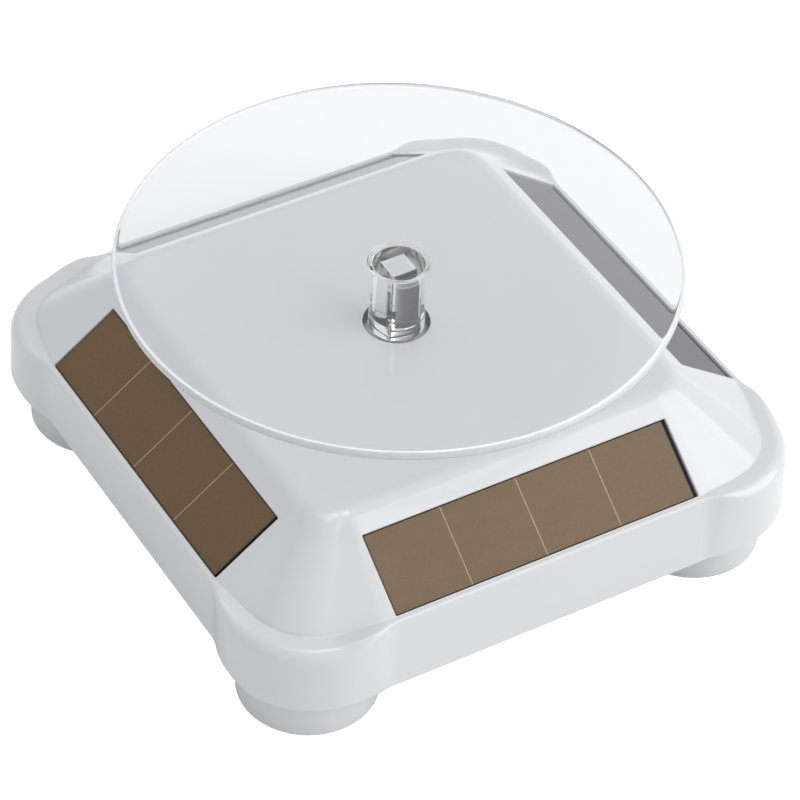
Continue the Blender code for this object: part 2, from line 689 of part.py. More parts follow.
def axle_gear(name, centre, wheel_dir, wheel_z, pinion_dir, pinion_z, sleeve_ends):
    """Wheel, pinion and sleeves that turn together on an axle. sleeve_ends are the heights where the
    lower sleeve ends and the upper one begins."""
    obj = wheel(name, centre, wheel_dir, wheel_z)
    add(obj, pinion("pinion", centre, pinion_dir, pinion_z))
    add(obj, rod("sleeve", centre, SLEEVE_R, (SLEEVE_Z[0], sleeve_ends[0]), 14))
    add(obj, rod("sleeve", centre, SLEEVE_R, (sleeve_ends[1], SLEEVE_Z[1]), 14))
    cut(obj, rod("bore", centre, AXLE_BORE_R, (10, 40), 20))
    lighten(obj, centre, 8.0, wheel_dir, wheel_z)
    set_origin(obj, *centre)
    finish(obj, IVORY)


def gears():
    output_gear()
    axle_gear("gear_1", AXLE_1, wheel_dir=DIR_2, wheel_z=(22.8, 24.8),
              pinion_dir=DIR_1, pinion_z=(18.7, 23.2), sleeve_ends=(20, 23.5))
    axle_gear("gear_2", AXLE_2, wheel_dir=DIR_MOTOR, wheel_z=(26.6, 28.4),
              pinion_dir=DIR_2, pinion_z=(22.5, 27.0), sleeve_ends=(23.5, 27.5))
    turned("gear_axle_1", AXLE_1, AXLE_PROFILE, 20, STEEL)
    turned("gear_axle_2", AXLE_2, AXLE_PROFILE, 20, STEEL)
    washer = rod("thrust_washer", OUTPUT, 3.7, (16.1, 16.5), 20)
    cut(washer, rod("hole", OUTPUT, 2.2, (15, 18), 20))
    finish(washer, STEEL)


# ---- motor --------------------------------------------------------------------------------------
# All three are (radius, z).
CAN_PROFILE = [(12.2, 14.7), (12.2, 24.3), (11.5, 25.0), (3.1, 25.05), (3.0, 25.7), (1.6, 25.75)]
END_CAP_PROFILE = [(11.6, 12.7), (12.1, 13.0), (12.1, 14.6)]
MOTOR_SHAFT_PROFILE = [(0.9, 20.4), (1.0, 20.6), (1.0, 29.3), (0.85, 29.5)]


def motor():
    can = turned("motor_can", MOTOR, CAN_PROFILE)
    cut(can, rod("bore", MOTOR, 1.06, (20, 27), 20))
    for angle in (0.3, 0.3 + math.pi):
        cut(can, rod("hole", polar(MOTOR, 8, angle), 0.9, (23.5, 27), 10))
    finish(can, STEEL)
    turned("motor_end_cap", MOTOR, END_CAP_PROFILE, mat=BLACK)
    set_origin(turned("motor_shaft", MOTOR, MOTOR_SHAFT_PROFILE, 20, STEEL), *MOTOR)
    drive = pinion("motor_pinion", MOTOR, DIR_MOTOR, (26.2, 29.0))
    cut(drive, rod("bore", MOTOR, 1.02, (20, 40), 20))
    set_origin(drive, *MOTOR)
    finish(drive, BRASS)


# ---- plate that carries the upper ends of the axles, and screws ---------------------------------
def belt_outline(circles, n=14):
    """Outline of a belt round circles (x, y, r), as the convex hull of their points."""
    points = sorted(
        tuple(round(c, 6) for c in polar((x, y), r, 2 * math.pi * k / n))
        for x, y, r in circles
        for k in range(n)
    )

    def chain(sequence):
        out = []
        for p in sequence:
            while len(out) > 1:
                a, b = out[-2:]
                if (b[0] - a[0]) * (p[1] - a[1]) > (b[1] - a[1]) * (p[0] - a[0]):
                    break
                out.pop()
            out.append(p)
        return out[:-1]

    return chain(points) + chain(reversed(points))


def gear_plate():
    through = (28, 33)
    outline = belt_outline([(*p, 3.6) for p in PILLARS] + [(*OUTPUT, 5.5)])
    plate = prism("gear_plate", outline, PLATE_Z)
    cut(plate, rod("bore", OUTPUT, 3.07, through, 24))
    for centre in (AXLE_1, AXLE_2):
        cut(plate, rod("bore", centre, 1.05, through, 16))
    for centre in PILLARS:
        cut(plate, rod("hole", centre, 1.15, through, 12))
    cut(plate, rod("small_hole", (-10.5, 8.0), 0.8, through, 12))
    finish(plate, POM)


def screw(name, centre, seat_z, head_r, head_h, shank_r, length, up=True):
    """A cross-head screw. seat_z is the bearing face; up says whether the head lies above it."""
    s = 1 if up else -1
    profile = [
        (head_r * 0.7, seat_z + s * head_h),
        (head_r, seat_z + s * head_h * 0.5),
        (head_r, seat_z),
        (shank_r, seat_z - s * 0.02),
        (shank_r, seat_z - s * (length - 0.8)),
        (shank_r * 0.35, seat_z - s * length),
    ]
    if up:
        profile.reverse()
    obj = turned(name, centre, profile, 10)
    slot_z = sorted((seat_z + s * (head_h + 1), seat_z + s * head_h * 0.45))
    long, narrow = head_r * 0.55, head_r * 0.13
    for half_x, half_y in ((long, narrow), (narrow, long)):
        cut(obj, box("slot", span(centre[0], half_x), span(centre[1], half_y), slot_z))
    finish(obj, STEEL, SCREW_ANGLE)


def screws():
    for i, centre in enumerate(PILLARS, 1):
        screw(f"plate_screw_{i}", centre, PLATE_Z[1] + SCREW_GAP,
              head_r=1.9, head_h=1.2, shank_r=0.85, length=6.0)
    for i, (sx, sy) in enumerate(((-1, -1), (1, -1), (1, 1), (-1, 1)), 1):
        screw(f"case_screw_{i}", (sx * FOOT_C, sy * FOOT_C), SCREW_SEAT_Z - SCREW_GAP,
              head_r=2.9, head_h=1.9, shank_r=1.25, length=12.0, up=False)
    for i, centre in enumerate(BOARD_POSTS, 1):
        screw(f"board_screw_{i}", centre, BOARD_Z[1] + SCREW_GAP,
              head_r=1.7, head_h=1.0, shank_r=0.75, length=4.5)


# ---- circuit board and slide switch -------------------------------------------------------------
CAPACITOR_PROFILE = [(2.9, 18.3), (3.1, 18.6), (3.1, 25.2), (2.8, 25.6)]   # (radius, z)
# (radius, x): lead, body, lead
DIODE_PROFILE = [(0.3, 29.0), (0.3, 31.2), (0.95, 31.25), (0.95, 35.0), (0.3, 35.05), (0.3, 37.2)]
DIODE_Z = 19.3


def circuit_board():
    board = box("circuit_board", (19.3, 40.0), (-11.4, 9.0), BOARD_Z)
    for centre in BOARD_POSTS:
        cut(board, rod("hole", centre, 1.1, (16, 20), 14))
    finish(board, GREEN)
    turned("storage_capacitor", (24.5, 4.6), CAPACITOR_PROFILE, 24, BLACK_WIRE)
    for i, y in enumerate((-1.5, -4.2), 1):
        turned_x(f"blocking_diode_{i}", y, DIODE_Z, DIODE_PROFILE, 12, BLACK_WIRE)


def slide_switch():
    body = box("switch_body", span(SWITCH_X, 4.3), span(SWITCH_Y, 2.0), (13.4, 16.8))
    cut(body, box("slot", span(SWITCH_X, 2.9), span(SWITCH_Y, 1.1), (12, 15.4)))
    finish(body, STEEL)
    slider_x = (SWITCH_X - 2.3, SWITCH_X - 0.2)
    slider = box("switch_slider", slider_x, span(SWITCH_Y, 0.8), (9.75, 15.0))
    for k in range(2):
        x = SWITCH_X - 1.8 + k * 0.8
        cut(slider, box("grip", (x, x + 0.3), span(SWITCH_Y, 2), (9, 10.05)))
    set_origin(slider, SWITCH_X, SWITCH_Y, 12)
    finish(slider, BLACK)


# ---- clear hub and disc -------------------------------------------------------------------------
HUB_PROFILE = [   # (radius, z)
    (4.75, 34.0), (4.98, 34.25), (4.98, 36.95), (4.5, 37.2),
    (4.5, 47.55), (5.6, 47.9), (5.6, 48.15), (5.45, 48.3),
]


def hub_and_disc():
    hub = turned("disc_hub", OUTPUT, HUB_PROFILE)
    cut(hub, box("socket", span(0, SOCKET / 2), span(0, SOCKET / 2), (30, 46.7)))
    finish(hub, CLEAR)
    low, high = DISC_Z
    profile = [(DISC_R - 0.4, low), (DISC_R, low + 0.35), (DISC_R, high - 0.35), (DISC_R - 0.35, high)]
    turned("display_disc", OUTPUT, profile, 64, CLEAR)


# ---- wiring -------------------------------------------------------------------------------------
# Leads from the panels: (along, up, quarter) of the start behind the panel, then x, y, z points.
PANEL_LEADS = {
    "lead_front_plus": (
        (14.0, 7, 0), (15.5, -38, 28.0), (17.5, -30, 29.9), (22.0, -16.3, 30.0),
        (25.0, -12.6, 25.4), (25.6, -12.0, 20.6), (25.6, -9.8, 18.9)),
    "lead_front_minus": (
        (17.0, 7, 0), (18.6, -38, 28.0), (20.5, -30, 29.9), (25.0, -16.3, 30.0),
        (27.0, -12.6, 25.4), (27.4, -12.0, 20.6), (27.4, -9.8, 18.9)),
    "lead_right_plus": ((-2.0, 8, 1), (42.0, -2.6, 21.5), (38.8, -3.6, 18.9)),
    "lead_right_minus": ((1.5, 8, 1), (42.0, 1.6, 21.5), (38.8, 1.2, 18.9)),
    "lead_back_plus": ((-22.5, 8, 2), (28.0, 36.5, 21.0), (31.5, 22.0, 20.0), (31.0, 8.0, 18.9)),
    "lead_back_minus": ((-25.5, 8, 2), (31.0, 36.5, 21.0), (34.5, 22.0, 20.0), (34.0, 8.0, 18.9)),
    "lead_left_plus": (
        (6.0, 8, 3), (-41.5, -7.5, 18.0), (-34.0, -12.6, 14.2), (-15.0, -13.2, 14.0),
        (8.0, -13.2, 14.0), (26.0, -13.2, 14.2), (29.0, -12.7, 16.5), (29.2, -12.1, 19.6),
        (29.2, -9.8, 18.9)),
    "lead_left_minus": (
        (8.2, 8, 3), (-41.5, -10.2, 16.6), (-34.0, -14.2, 14.2), (-15.0, -14.7, 14.0),
        (8.0, -14.7, 14.0), (27.5, -14.6, 14.2), (30.9, -12.8, 16.3), (31.1, -12.1, 19.6),
        (31.1, -9.8, 18.9)),
}
# Leads from the motor and the battery contacts: x, y, z points.
OTHER_LEADS = {
    "motor_lead_plus": (
        (MOTOR[0] + 11.7, MOTOR[1] - 5.0, 15.5), (MOTOR[0] + 15.0, MOTOR[1] - 7.5, 16.8),
        (27.5, 11.6, 19.5), (28.2, 7.6, 18.9)),
    "motor_lead_minus": (
        (MOTOR[0] + 10.6, MOTOR[1] - 7.4, 15.5), (MOTOR[0] + 13.0, MOTOR[1] - 10.5, 16.2),
        (23.5, 12.4, 19.4), (21.2, 8.0, 18.9)),
    "battery_lead_plus": (
        (31.7, CELL_Y + 4.9, 16.8), (34.0, -16.5, 17.2), (35.4, -13.4, 19.2), (35.4, -9.8, 18.9)),
    "battery_lead_minus": (
        (-32.8, CELL_Y + 4.9, 16.8), (-34.4, -16.6, 16.4), (-30.0, -14.0, 17.0),
        (-14.0, -14.55, 17.4), (8.0, -14.55, 17.4), (30.0, -14.5, 17.7), (33.2, -13.2, 19.3),
        (33.3, -9.8, 18.9)),
}
LEAD_START_DEPTHS = (1.8, 3.3)   # a panel lead first runs straight in between these depths
LEAD_STEPS = 3                   # curve steps between two given points


def wire(name, path):
    """A lead along a smooth (Catmull-Rom) curve through the given points, red for plus."""
    p = [np.array(q, float) for q in path]
    p = [2 * p[0] - p[1]] + p + [2 * p[-1] - p[-2]]
    curve = []
    for i in range(1, len(p) - 2):
        a, b, c, d = p[i - 1 : i + 3]
        for k in range(LEAD_STEPS):
            t = k / LEAD_STEPS
            square = (2 * a - 5 * b + 4 * c - d) * t * t
            cube = (3 * b - a - 3 * c + d) * t**3
            curve.append(0.5 * ((2 * b) + (c - a) * t + square + cube))
    curve.append(p[-2])
    mat = RED_WIRE if name.endswith("plus") else BLACK_WIRE
    tube(name, curve, radius=0.5, sides=5, mat=mat)


def wiring():
    for name, ((along, up, quarter), *path) in PANEL_LEADS.items():
        start = [slope_to_world(along, up, depth, quarter) for depth in LEAD_START_DEPTHS]
        wire(name, start + path)
    for name, path in OTHER_LEADS.items():
        wire(name, path)


# ---- assembly -----------------------------------------------------------------------------------
upper_housing()
for quarter, side in enumerate(SIDES):
    solar_panel(side, quarter)
bottom_cover()
battery_door()
battery()
gears()
motor()
gear_plate()
circuit_board()
screws()
slide_switch()
hub_and_disc()
wiring()
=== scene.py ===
"""Studio view of a solar turntable display stand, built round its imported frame.

A square base with a round lobe at each corner carries four sloping solar panels. A clear hub and
disc turn above it. Shapes are worked out in millimetres and written to the scene in metres. +Z is
up, the front faces -Y, and the origin is on the spin axis at the level of the feet.
"""

import json
import math
import bmesh
import bpy
import numpy as np
from mathutils import Matrix, Vector


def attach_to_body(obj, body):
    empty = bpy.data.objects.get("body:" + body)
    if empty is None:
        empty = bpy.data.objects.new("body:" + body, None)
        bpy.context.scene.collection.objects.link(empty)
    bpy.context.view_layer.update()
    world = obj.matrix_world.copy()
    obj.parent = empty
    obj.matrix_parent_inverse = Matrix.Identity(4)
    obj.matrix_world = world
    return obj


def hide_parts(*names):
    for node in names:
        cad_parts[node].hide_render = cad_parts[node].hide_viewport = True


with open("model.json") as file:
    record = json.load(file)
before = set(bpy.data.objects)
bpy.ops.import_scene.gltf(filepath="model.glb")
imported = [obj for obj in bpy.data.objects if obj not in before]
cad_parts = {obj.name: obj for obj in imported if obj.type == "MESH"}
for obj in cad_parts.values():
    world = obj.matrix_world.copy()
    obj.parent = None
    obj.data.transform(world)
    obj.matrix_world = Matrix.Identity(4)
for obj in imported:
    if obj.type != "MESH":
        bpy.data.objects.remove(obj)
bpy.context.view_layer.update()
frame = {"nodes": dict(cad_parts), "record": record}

MM = 0.001

# ---- dimensions shared with the solid model, in millimetres ----------------------------------
# base outline: flat walls, a hollow blend, then a round lobe at each corner
WALL_HALF, LOBE_CENTRE, LOBE_R, BLEND_R, SKIN = 53.2, 38.26, 16.4, 9.0, 2.0
Z_BOTTOM, Z_LEDGE, Z_SLOPE, Z_TOP = 9.9, 22.4, 23.6, 34.8
FLARE = 0.45                  # how far the whole wall spreads at its foot
LEAN = (-0.75, 1.07)          # further outward shift there of the x walls and the y walls
# sloping faces between the walls and the flat top, with a cone over each lobe
SLOPE_HALF, TOP_HALF, CONE_R, TOP_CORNER_R = 52.2, 36.5, 11.5, 4.6
SLOPE_ANGLE = math.atan2(Z_TOP - Z_SLOPE, SLOPE_HALF - TOP_HALF)
HUB_HOLE_R = 5.77

# in the slopes: u runs along the side, s runs up from the lower edge, depth runs inward
WINDOW_HALF, WINDOW_S = 30.0, (0.17, 14.73)
OPENING_HALF, OPENING_S = 27.5, (2.6, 12.3)
PANEL_U, PANEL_S = (-29.85, 29.3), (0.32, 14.58)
RECESS_DEPTH, FACE_DEPTH, PANEL_T = 1.55, 0.35, 0.8

FOOT_R = 12.4
FEET = [(sx * 39.0, sy * 39.0) for sx in (-1, 1) for sy in (-1, 1)]
DISC_R, DISC_Z = 49.4, (48.5, 50.4)
SOCKET_HALF = 4.7 / 2

# bottom cover
PLATE_Z = (10.4, 12.4)
ROOT_Z = 11.4                 # parts on the plate start at this level, within its thickness
DOOR_X, DOOR_Y = (-27.1, 27.1), (-31.4, -16.9)
HINGE_Y, HINGE_Z, HINGE_R = -30.75, 11.35, 0.68
BAY_X, BAY_Y, BAY_TOP = (-29.2, 28.4), (-31.6, -16.4), 27.0
CELL_Y = -24.0
SWITCH_X, SWITCH_Y = 30.0, -2.0
PILLARS = ((-32.0, 4.0), (16.0, -7.5), (-12.0, 33.2))
BOARD_POSTS = ((22.5, -9.0), (37.0, 6.5))


def next_axle(axle, degrees):
    """Place of the next axle of the gear train, one centre distance away."""
    centres, turn = 16.0, math.radians(degrees)
    return axle[0] + centres * math.cos(turn), axle[1] + centres * math.sin(turn)


OUTPUT_AXLE = (0.0, 0.0)
AXLE_1 = next_axle(OUTPUT_AXLE, 165)
AXLE_2 = next_axle(AXLE_1, 50)
MOTOR_AXLE = next_axle(AXLE_2, 35)


# ---- materials -------------------------------------------------------------------------------
# a colour Mix node repeats its socket names, so these are reached by index
MIX_FIRST, MIX_SECOND, MIX_RESULT = 6, 7, 2


class Shader:
    """Small wrapper that builds one node material."""

    def __init__(self, name):
        self.mat = bpy.data.materials.new(name)
        self.mat.use_nodes = True
        self.tree = self.mat.node_tree
        self.tree.nodes.clear()
        self.out = self.tree.nodes.new("ShaderNodeOutputMaterial")
        self.object_coord = self.node("ShaderNodeTexCoord").outputs["Object"]

    def feed(self, target, value):
        """Links a socket to target, or sets target to a plain value."""
        if isinstance(value, bpy.types.NodeSocket):
            self.tree.links.new(value, target)
        else:
            target.default_value = value

    def node(self, kind, **values):
        """Adds a node. Each value goes to the input of that name, or else to the property."""
        node = self.tree.nodes.new(kind)
        for name, value in values.items():
            socket_name = name.replace("_", " ")
            if socket_name in node.inputs:
                self.feed(node.inputs[socket_name], value)
            else:
                setattr(node, name, value)
        return node

    def noise(self, scale, detail, rough, stretch=None):
        vector = self.object_coord
        if stretch:
            mapping = self.node("ShaderNodeMapping", Vector=vector, Scale=stretch)
            vector = mapping.outputs["Vector"]
        return self.node("ShaderNodeTexNoise", Vector=vector, Scale=scale, Detail=detail,
                         Roughness=rough).outputs["Fac"]

    def ramp(self, fac, stops, interpolation="LINEAR"):
        """Colour ramp through (position, colour) stops."""
        node = self.node("ShaderNodeValToRGB", Fac=fac)
        node.color_ramp.interpolation = interpolation
        elements = node.color_ramp.elements
        while len(elements) < len(stops):
            elements.new(0.5)
        for element, (position, colour) in zip(elements, stops):
            element.position = position
            element.color = (*colour, 1)
        return node.outputs["Color"]

    def span(self, value, low, high, start=0.3, end=0.7):
        """Maps start..end to low..high. The defaults suit the middle of a noise."""
        return self.node("ShaderNodeMapRange", From_Min=start, From_Max=end, To_Min=low,
                         To_Max=high, Value=value).outputs["Result"]

    def bump(self, height, strength, distance):
        return self.node("ShaderNodeBump", Strength=strength, Distance=distance,
                         Height=height).outputs["Normal"]

    def math(self, operation, first, second):
        node = self.node("ShaderNodeMath", operation=operation)
        self.feed(node.inputs[0], first)
        self.feed(node.inputs[1], second)
        return node.outputs[0]

    def mix_colours(self, factor, first, second, blend_type="MIX"):
        node = self.node("ShaderNodeMix", data_type="RGBA", blend_type=blend_type, Factor=factor)
        self.feed(node.inputs[MIX_FIRST], first)
        self.feed(node.inputs[MIX_SECOND], second)
        return node.outputs[MIX_RESULT]

    def mix_shaders(self, factor, first, second):
        node = self.node("ShaderNodeMixShader", Fac=factor)
        self.feed(node.inputs[1], first)
        self.feed(node.inputs[2], second)
        return node.outputs["Shader"]

    def light_path(self):
        return self.node("ShaderNodeLightPath").outputs

    def axis(self, vector, letter):
        node = self.node("ShaderNodeSeparateXYZ")
        self.feed(node.inputs[0], vector)
        return node.outputs[letter]

    def principled(self, **values):
        return self.node("ShaderNodeBsdfPrincipled", **values).outputs["BSDF"]

    def done(self, socket):
        self.feed(self.out.inputs["Surface"], socket)
        return self.mat


def shade(colour, gain):
    return tuple(min(1.0, c * gain) for c in colour)


def moulded(name, colour, rough, coat=0.0, grain=900.0, depth=0.00001, spread=0.05, dust=0.03,
            ior=1.5):
    """Moulded plastic: faint flow mottle, patches of gloss and a fine orange peel.

    grain and depth (metres) shape the peel, spread varies the gloss and dust the colour.
    """
    s = Shader(name)
    flow = s.noise(scale=55, detail=3, rough=0.5)
    peel = s.noise(scale=grain, detail=3, rough=0.6)
    patch = s.noise(scale=190, detail=6, rough=0.7)
    extra = {"Coat_Weight": coat, "Coat_Roughness": 0.08} if coat else {}
    return s.done(s.principled(
        Base_Color=s.ramp(flow, [(0.3, shade(colour, 1 - dust)),
                                 (0.7, shade(colour, 1 + dust * 0.5))]),
        Roughness=s.span(patch, low=max(0.02, rough - spread), high=rough + spread),
        IOR=ior, Normal=s.bump(peel, strength=0.12, distance=depth), **extra))


def metal(name, colour, rough, stretch, scale=700.0):
    """Bare metal with grain squeezed by the stretch factors, and slight tarnish in patches."""
    s = Shader(name)
    grain = s.noise(scale=scale, detail=4, rough=0.6, stretch=stretch)
    patch = s.noise(scale=120, detail=5, rough=0.65)
    tarnished = shade(colour, 0.75)
    return s.done(s.principled(
        Base_Color=s.ramp(patch, [(0.35, tarnished), (0.65, colour)]),
        Roughness=s.span(grain, low=rough * 0.7, high=rough * 1.4),
        Metallic=1.0, Normal=s.bump(grain, strength=0.3, distance=0.00001)))


def clear(name, tint, rough, passed, sheen):
    """Clear acrylic with a trace of haze. passed is the share of light let through in shadows."""
    s = Shader(name)
    haze = s.noise(scale=150, detail=6, rough=0.7)
    body = s.principled(
        Base_Color=(*tint, 1),
        Roughness=s.span(haze, low=rough * 0.5, high=rough * 2.0, start=0.35, end=0.75),
        IOR=1.49, Transmission_Weight=1.0, Specular_IOR_Level=sheen)
    path = s.light_path()
    thin = s.node("ShaderNodeBsdfTransparent", Color=(passed, passed, min(1.0, passed * 1.004), 1))
    unseen = s.math("MAXIMUM", path["Is Shadow Ray"], path["Is Diffuse Ray"])
    return s.done(s.mix_shaders(unseen, body, thin.outputs["BSDF"]))


def cell_material(name, low, high, grain):
    """Silicon film behind glass, which turns from its own colour to grey at a low angle."""
    s = Shader(name)
    rough = 0.24
    film_grey = (0.026, 0.024, 0.030, 1)
    fine = s.noise(scale=grain, detail=2, rough=0.5)
    streak = s.noise(scale=420, detail=3, rough=0.6, stretch=(0.15, 0.15, 2.0))
    cloud = s.noise(scale=38, detail=3, rough=0.5)
    film = s.ramp(fine, [(0.25, low), (0.75, high)])
    tone = s.ramp(cloud, [(0.3, (0.93, 0.93, 0.93)), (0.7, (1.05, 1.045, 1.04))])
    facing = s.node("ShaderNodeLayerWeight", Blend=0.5).outputs["Facing"]
    grazing = s.span(facing, low=0.0, high=1.0, start=0.34, end=0.56)
    clouded = s.mix_colours(1.0, film, tone, blend_type="MULTIPLY")
    streaked = s.span(streak, low=rough * 0.85, high=rough * 1.15)
    polish = s.span(grazing, low=0.0, high=rough * 0.7, start=0.0, end=1.0)
    return s.done(s.principled(
        Base_Color=s.mix_colours(grazing, clouded, film_grey),
        IOR=1.5, Specular_IOR_Level=0.38,
        Roughness=s.math("SUBTRACT", streaked, polish),
        Normal=s.bump(fine, strength=0.03, distance=0.00001)))


def banded(name, stops, rough):
    """Printed sleeve in plain bands along X. stops are (start of band in metres, colour)."""
    s = Shader(name)
    start, end = stops[0][0], stops[-1][0]
    along = s.span(s.axis(s.object_coord, "X"), low=0.0, high=1.0, start=start, end=end)
    bands = [((x - start) / (end - start), colour) for x, colour in stops]
    colour = s.ramp(along, bands, interpolation="CONSTANT")
    scuff = s.noise(scale=500, detail=6, rough=0.7, stretch=(0.3, 1, 1))
    return s.done(s.principled(
        Base_Color=colour, Metallic=0.55,
        Roughness=s.span(scuff, low=rough * 0.6, high=rough * 1.6),
        Normal=s.bump(scuff, strength=0.1, distance=0.00001)))


def rim_material(name):
    """Rim of the clear disc, painted milky and light for the light that gathers in it, with a
    faint cool tint.
    """
    s = Shader(name)
    fine = s.noise(scale=1500, detail=3, rough=0.6)
    return s.done(s.principled(
        Base_Color=s.ramp(fine, [(0.3, (0.86, 0.865, 0.91)), (0.7, (0.93, 0.935, 0.97))]),
        IOR=1.49, Transmission_Weight=0.45, Roughness=s.span(fine, low=0.10, high=0.2)))


def head_material(name):
    """Glossy drive square with painted shade on its -Y face, so that the dark face turns with it.
    """
    s = Shader(name)
    normal = s.node("ShaderNodeNewGeometry").outputs["True Normal"]
    turned_normal = s.node("ShaderNodeVectorTransform", vector_type="NORMAL",
                           convert_from="WORLD", convert_to="OBJECT", Vector=normal)
    y = s.axis(turned_normal.outputs["Vector"], "Y")
    front = s.span(y, low=1.0, high=0.0, start=-1.0, end=0.0)
    colour = s.ramp(front, [(0.55, (0.80, 0.81, 0.84)), (0.975, (0.25, 0.25, 0.26)),
                            (0.992, (0.012, 0.012, 0.016))])
    fine = s.noise(scale=1200, detail=3, rough=0.6, stretch=(3, 3, 0.2))
    # painted glow: the emission stands in for light that gathers in the clear hub round it
    return s.done(s.principled(
        Base_Color=colour, IOR=1.5, Roughness=s.span(fine, low=0.10, high=0.3),
        Normal=s.bump(fine, strength=0.3, distance=0.00002),
        Emission_Color=colour, Emission_Strength=0.42))


WHITE = moulded("white_abs_gloss", colour=(0.530, 0.534, 0.542), rough=0.2, coat=0.2,
                spread=0.02, dust=0.004, depth=0.000001)
WHITE_SATIN = moulded("white_abs_satin", colour=(0.535, 0.54, 0.55), rough=0.36, dust=0.01,
                      grain=1400, depth=0.000005)
# painted shade: a near black colour for the shade inside the hub's hole, on white plastic walls
HOLE_PAINTED_SHADE = moulded("hole_wall_shade", colour=(0.014, 0.011, 0.009), rough=0.6, dust=0.1,
                    ior=1.15)
CLEAR_DISC = clear("acrylic_disc", tint=(0.982, 0.982, 0.992), rough=0.004, passed=0.965,
                   sheen=0.22)
CLEAR_RIM = rim_material("acrylic_rim")
CLEAR_HUB = clear("acrylic_hub", tint=(0.96, 0.96, 0.97), rough=0.006, passed=0.9, sheen=0.3)
CELLS = cell_material("silicon_cells", low=(0.098, 0.058, 0.019), high=(0.118, 0.072, 0.027),
                      grain=2600)
PANEL_EDGE = moulded("panel_edge", colour=(0.020, 0.015, 0.011), rough=0.3, grain=1500, dust=0.1)
SCRIBE = cell_material("scribe_tan", low=(0.33, 0.255, 0.165), high=(0.39, 0.30, 0.20),
                       grain=900)
FOAM = moulded("black_foam", colour=(0.012, 0.011, 0.010), rough=0.85, grain=2500,
               depth=0.00006, spread=0.08, dust=0.3)
POM = moulded("acetal_white", colour=(0.78, 0.77, 0.73), rough=0.42, grain=1200, depth=0.00002)
POM_IVORY = moulded("acetal_ivory", colour=(0.72, 0.66, 0.52), rough=0.42, grain=1200,
                    depth=0.00002)
BLACK = moulded("abs_black", colour=(0.03, 0.03, 0.032), rough=0.45, grain=1500, depth=0.00003,
                dust=0.2)
STEEL = metal("steel_drawn", colour=(0.62, 0.62, 0.63), rough=0.28, stretch=(1, 1, 8))
STEEL_FLAT = metal("steel_stamped", colour=(0.66, 0.66, 0.67), rough=0.3, stretch=(6, 1, 1))
ZINC = metal("zinc_screw", colour=(0.66, 0.66, 0.68), rough=0.3, stretch=(1, 1, 1), scale=1400)
NICKEL = metal("nickel_contact", colour=(0.72, 0.71, 0.69), rough=0.22, stretch=(1, 5, 1))
BRASS = metal("brass_turned", colour=(0.80, 0.62, 0.32), rough=0.28, stretch=(1, 1, 6))
BOARD = moulded("solder_resist", colour=(0.03, 0.17, 0.075), rough=0.3, coat=0.3, grain=800,
                dust=0.12)
SLEEVE = moulded("capacitor_sleeve", colour=(0.03, 0.035, 0.05), rough=0.3, grain=1200,
                 dust=0.15)
DIODE = moulded("diode_epoxy", colour=(0.02, 0.02, 0.022), rough=0.4, grain=1500, dust=0.2)
RED = moulded("pvc_red", colour=(0.45, 0.03, 0.02), rough=0.35, grain=1600, dust=0.1)
DARK = moulded("pvc_black", colour=(0.02, 0.02, 0.022), rough=0.35, grain=1600, dust=0.2)
CELL_WRAP = banded("cell_wrap", rough=0.3, stops=[
    (-0.0236, (0.06, 0.16, 0.36)), (0.0150, (0.60, 0.60, 0.62)), (0.0172, (0.55, 0.30, 0.08)),
    (0.0250, (0.62, 0.62, 0.60)), (0.0270, (0.62, 0.62, 0.60))])
HEAD_PAINTED_SHADE = head_material("drive_square")
# painted shade: the acetal neck is coloured dark for the shade round it inside the clear hub
NECK_PAINTED_SHADE = moulded("drive_neck_shade", colour=(0.045, 0.043, 0.045), rough=0.35, grain=1500,
               dust=0.15)

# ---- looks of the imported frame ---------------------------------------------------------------
SLOTS = {
    "gear_white": POM, "gear_ivory": POM_IVORY, "axle_steel": STEEL, "pinion_brass": BRASS,
    "motor_steel": STEEL, "motor_black": BLACK, "screw_steel": ZINC, "board_green": BOARD,
    "capacitor_black": SLEEVE, "diode_black": DIODE, "switch_steel": STEEL_FLAT,
    "switch_black": BLACK, "lead_red": RED, "lead_black": DARK, "contact_steel": NICKEL,
    "cell_sleeve": CELL_WRAP, "foam_black": FOAM, "solar_cell": CELLS, "housing_white": WHITE,
    "cover_white": WHITE_SATIN, "door_white": WHITE_SATIN, "disc_clear": CLEAR_DISC,
    "hub_clear": CLEAR_HUB,
}
TOOTHED_BEVEL, PLAIN_BEVEL = 0.05, 0.12


def keep_normals(obj):
    modifier = obj.modifiers.new("normals", "WEIGHTED_NORMAL")
    modifier.keep_sharp = True
    return modifier


def dress_node(name, obj, mat):
    """Gives a frame node its material and softens its edges."""
    if not obj.material_slots:
        obj.data.materials.append(mat)
    for slot in obj.material_slots:
        slot.material = mat
    toothed = "gear" in name or "pinion" in name
    bevel = obj.modifiers.new("edges", "BEVEL")
    bevel.width = (TOOTHED_BEVEL if toothed else PLAIN_BEVEL) * MM
    bevel.segments = 2
    bevel.limit_method = "ANGLE"
    bevel.angle_limit = math.radians(38)
    bevel.use_clamp_overlap = True
    keep_normals(obj)


node_slot = {entry["node"]: entry["material_slot"] for entry in frame["record"]["subparts"]}
for node_name, node_obj in frame["nodes"].items():
    dress_node(node_name, node_obj, SLOTS[node_slot[node_name]])


